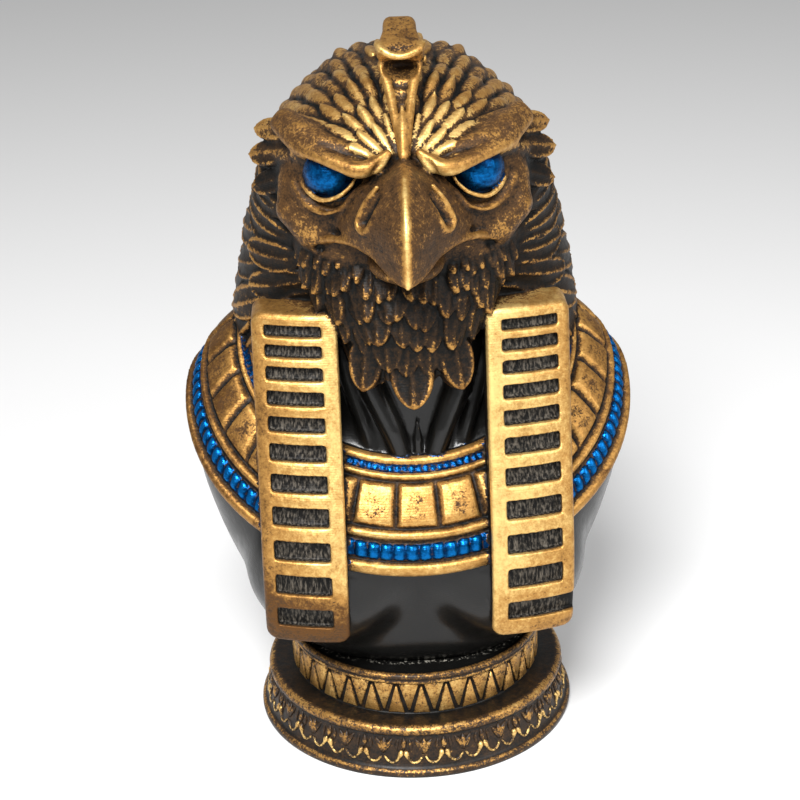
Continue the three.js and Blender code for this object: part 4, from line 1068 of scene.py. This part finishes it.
def wrapping_tree():
    """Repeats a flat ornament along a line, and wraps the line round the plinth's wall"""
    tree = bpy.data.node_groups.new("ornament_round_wall", "GeometryNodeTree")
    tree.interface.new_socket("Geometry", in_out="OUTPUT", socket_type="NodeSocketGeometry")
    for label, kind in (("Geometry", "NodeSocketGeometry"), ("Ornament", "NodeSocketObject"), ("Count", "NodeSocketInt"),
                        ("Wall Radius", "NodeSocketFloat"), ("Wall Foot", "NodeSocketFloat"), ("Lean", "NodeSocketFloat"),
                        ("Finish", "NodeSocketMaterial")):
        tree.interface.new_socket(label, in_out="INPUT", socket_type=kind)
    given = tree.nodes.new("NodeGroupInput").outputs
    pitch = reckon(tree, "DIVIDE", reckon(tree, "MULTIPLY", given["Wall Radius"], 2 * math.pi), given["Count"])
    step = add_node(tree, "ShaderNodeCombineXYZ", {"X": pitch}).outputs[0]
    line = add_node(tree, "GeometryNodeMeshLine", {"Count": given["Count"], "Offset": step})
    shape = add_node(tree, "GeometryNodeObjectInfo", {"Object": given["Ornament"]})
    row = add_node(tree, "GeometryNodeInstanceOnPoints", {"Points": line.outputs[0], "Instance": shape.outputs["Geometry"]})
    real_row = add_node(tree, "GeometryNodeRealizeInstances", {"Geometry": row.outputs[0]})
    place = add_node(tree, "GeometryNodeInputPosition").outputs[0]
    across, depth, height = add_node(tree, "ShaderNodeSeparateXYZ", {0: place}).outputs
    turn = reckon(tree, "DIVIDE", across, given["Wall Radius"])
    reach = reckon(tree, "MULTIPLY_ADD", reckon(tree, "SUBTRACT", height, given["Wall Foot"]), given["Lean"],
                   reckon(tree, "SUBTRACT", given["Wall Radius"], depth))
    bent = add_node(tree, "ShaderNodeCombineXYZ", {
        "X": reckon(tree, "MULTIPLY", reach, reckon(tree, "SINE", turn)),
        "Y": reckon(tree, "MULTIPLY", reckon(tree, "MULTIPLY", reach, reckon(tree, "COSINE", turn)), -1.0),
        "Z": height}).outputs[0]
    wrapped = add_node(tree, "GeometryNodeSetPosition", {"Geometry": real_row.outputs[0], "Position": bent})
    finished = add_node(tree, "GeometryNodeSetMaterial", {"Geometry": wrapped.outputs[0], "Material": given["Finish"]})
    tree.links.new(finished.outputs[0], tree.nodes.new("NodeGroupOutput").inputs[0])
    return tree


plinth_paint = bpy.data.materials.new("painted_plinth")
plinth_paint.use_nodes = True
tree = plinth_paint.node_tree
tree.nodes.clear()
place = add_node(tree, "ShaderNodeTexCoord").outputs["Object"]
brushed = add_node(tree, "ShaderNodeGroup", {"Place": place, "Brown": 0.45, "Relief": 0.0}, node_tree=brushing)
for name, target in (("cover", "Cover"), ("tone", "Tone"), ("edge", "Edge")):
    tree.links.new(mark(name), brushed.inputs[target])
surface = add_node(tree, "ShaderNodeGroup", {"Place": place, "Height": brushed.outputs["Height"]}, node_tree=grain)
# Pale specks of dust and glue lie in the corner where the torso stands on the disc
across, depth, height = add_node(tree, "ShaderNodeSeparateXYZ", {0: place}).outputs
foot_height, foot_half_width, foot_front, foot_back = TORSO_RINGS[0]
powers = []
for way, half in ((across, foot_half_width), (depth, (foot_back - foot_front) / 2)):
    part = reckon(tree, "DIVIDE", reckon(tree, "ABSOLUTE", way), half * 0.001)
    powers.append(reckon(tree, "POWER", part, 2.3))
contact = reckon(tree, "ADD", *powers)
near_contact = reckon(tree, "MULTIPLY", ramp(tree, contact, 0.92, 1.0),
                      reckon(tree, "SUBTRACT", 1.0, ramp(tree, contact, 1.0, 1.12)))
specks = reckon(tree, "MULTIPLY", near_contact, ramp(tree, speckle(tree, place, 0.6, 4), 0.54, 0.64))
specks = reckon(tree, "MULTIPLY", specks, ramp(tree, height, 0.019, 0.0195))
colour = blend_colours(tree, specks, brushed.outputs["Colour"], (0.35, 0.33, 0.28, 1))
metal = reckon(tree, "MULTIPLY", brushed.outputs["Gold"], 0.8)
rough = reckon(tree, "ADD", surface.outputs["Roughness"], 0.42, clamp=True)
bump = add_node(tree, "ShaderNodeBump", {"Height": surface.outputs["Height"], "Strength": 0.4, "Distance": 0.00015})
shader = add_node(tree, "ShaderNodeBsdfPrincipled", {"Base Color": colour, "Metallic": metal, "Roughness": rough,
                                                     "Normal": bump.outputs[0]})
shader.inputs["Specular IOR Level"].default_value = 0.25
output = add_node(tree, "ShaderNodeOutputMaterial", {"Surface": shader.outputs[0]})


def finish_plinth_piece(piece):
    for polygon in piece.data.polygons:
        polygon.use_smooth = True
    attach(piece, "root")
    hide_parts("plinth")


points, faces = turned(PLINTH_PROFILE, PLINTH_SIDES)
body = plain_object("plinth_body", points, faces)
body.data.materials.append(plinth_paint)
rows = np.array(PLINTH_PROFILE)
spread = np.concatenate([np.repeat(rows[1:-1], PLINTH_SIDES, axis=0), rows[[0, -1]]])
for column, name in ((2, "cover"), (3, "tone")):
    keep_mark(body.data, name, spread[:, column])
keep_mark(body.data, "edge", np.zeros(len(points)))
finish_plinth_piece(body)

# The drum's frieze: triangles that stand on the ledge, with others hanging from the band between them
DRUM_PITCH = 2 * math.pi * DRUM_WALL / 32
STANDING = [[-1.75, 10.9], [1.75, 10.9], [0.12, 17.2], [-0.12, 17.2]]
HANGING = [[-0.15, 11.5], [0.15, 11.5], [2.0, 17.75], [-2.0, 17.75]]
# The foot's frieze: a pair of hanging loops with leaf ends, a lotus of three petals over them, and a bud between
LOOP = [[-3.85, 5.6], [-3.6, 4.6], [-2.95, 3.4], [-2.1, 2.9], [-1.1, 3.2], [-0.3, 4.2]]
LOOP_RADII = [0.15, 0.5, 0.62, 0.5, 0.34, 0.28, 0.27, 0.27, 0.27, 0.27, 0.27, 0.27, 0.27, 0.2]
PETAL_RADII = [0.15, 0.5, 0.8, 1.0, 0.95, 0.6, 0.12]
LOTUS = [([[0, 4.7], [0, 6.3], [0, 8.1]], 0.85), ([[0.35, 4.8], [0.8, 6.4], [1.9, 7.9]], 0.6),
         ([[-0.35, 4.8], [-0.8, 6.4], [-1.9, 7.9]], 0.6), ([[4.25, 5.4], [4.3, 6.6], [4.25, 8.1]], 0.65),
         ([[2.9, 5.2], [2.75, 6.4], [3.1, 7.8]], 0.4), ([[-2.9, 5.2], [-2.75, 6.4], [-3.1, 7.8]], 0.4)]


def joined(shapes):
    points, faces = [], []
    for shape_points, shape_faces in shapes:
        faces += [tuple(i + len(points) for i in face) for face in shape_faces]
        points += [list(point) for point in shape_points]
    return np.array(points) * 0.001, faces


loops = [tube([[x * side, z] for x, z in LOOP], LOOP_RADII, 1.1) for side in (-1, 1)]
petals = [tube(path, [width * share for share in PETAL_RADII], 0.75) for path, width in LOTUS]
hanging = tile([[x + DRUM_PITCH / 2, z] for x, z in HANGING], 0.5)
wrapping = wrapping_tree()
inputs = {item.name: item.identifier for item in wrapping.interface.items_tree if item.in_out == "INPUT"}
FRIEZES = [
    ("plinth_triangles", joined([tile(STANDING, 0.52), hanging]), 32, DRUM_WALL, 10.6, 0.0, 0.3, 0.5),
    ("plinth_loops", joined(loops), 24, *FRIEZE_WALL, 0.36, 0.75),
    ("plinth_lotus", joined(petals), 24, *FRIEZE_WALL, 0.16, 0.35),
]
for name, (points, faces), count, wall, foot, lean, cover_here, tone_here in FRIEZES:
    ornament = plain_object(name + "_flat", points, faces)
    frieze = plain_object(name, [], [])
    wrap = frieze.modifiers.new("wrap", "NODES")
    wrap.node_group = wrapping
    for label, value in (("Ornament", ornament), ("Count", count), ("Wall Radius", wall * 0.001),
                         ("Wall Foot", foot * 0.001), ("Lean", lean), ("Finish", plinth_paint)):
        wrap[inputs[label]] = value
    made = bpy.data.meshes.new_from_object(frieze.evaluated_get(bpy.context.evaluated_depsgraph_get()))
    frieze.modifiers.clear()
    frieze.data = made
    made.name = name
    bpy.data.objects.remove(ornament)
    shell = bmesh.new()
    shell.from_mesh(made)
    bmesh.ops.recalc_face_normals(shell, faces=shell.faces)
    shell.to_mesh(made)
    shell.free()
    spots = np.empty(len(made.vertices) * 3, np.float32)
    made.vertices.foreach_get("co", spots)
    spots = spots.reshape(-1, 3) * 1000
    stands_out = np.hypot(spots[:, 0], spots[:, 1]) - wall - lean * (spots[:, 2] - foot)
    keep_mark(made, "cover", cover_here + 0.5 * (np.clip(stands_out, -0.2, 0.6) - 0.4))
    keep_mark(made, "tone", np.full(len(spots), tone_here))
    keep_mark(made, "edge", np.clip(stands_out, 0, 0.6) * 0.2)
    finish_plinth_piece(frieze)


# Room: a pale floor and soft light, as in a plain studio.
floor_mesh = bpy.data.meshes.new("floor")
floor_mesh.from_pydata([(-3, -3, 0), (3, -3, 0), (3, 3, 0), (-3, 3, 0)], [], [(0, 1, 2, 3)])
floor = bpy.data.objects.new("floor", floor_mesh)
bpy.context.scene.collection.objects.link(floor)
world = bpy.data.worlds.new("studio")
world.use_nodes = True
world.node_tree.nodes["Background"].inputs["Color"].default_value = (1, 1, 1, 1)
studio = world.node_tree
# The camera sees the room behind the floor as pale as the floor, while the room lights the bust less
seen = add_node(studio, "ShaderNodeLightPath").outputs["Is Camera Ray"]
studio.links.new(reckon(studio, "MULTIPLY_ADD", seen, 0.5, 0.36), studio.nodes["Background"].inputs["Strength"])
bpy.context.scene.world = world
bpy.context.scene.view_settings.view_transform = "Standard"
for name, place, size, power in (("key", (-0.14, -0.5, 0.62), 0.3, 10), ("fill", (0.45, -0.35, 0.4), 0.4, 2)):
    light = bpy.data.lights.new(name, "AREA")
    light.size = size
    light.energy = power
    lamp = bpy.data.objects.new(name, light)
    lamp.location = place
    lamp.rotation_euler = (Vector((0, 0, 0.08)) - Vector(place)).to_track_quat("-Z", "Y").to_euler()
    bpy.context.scene.collection.objects.link(lamp)
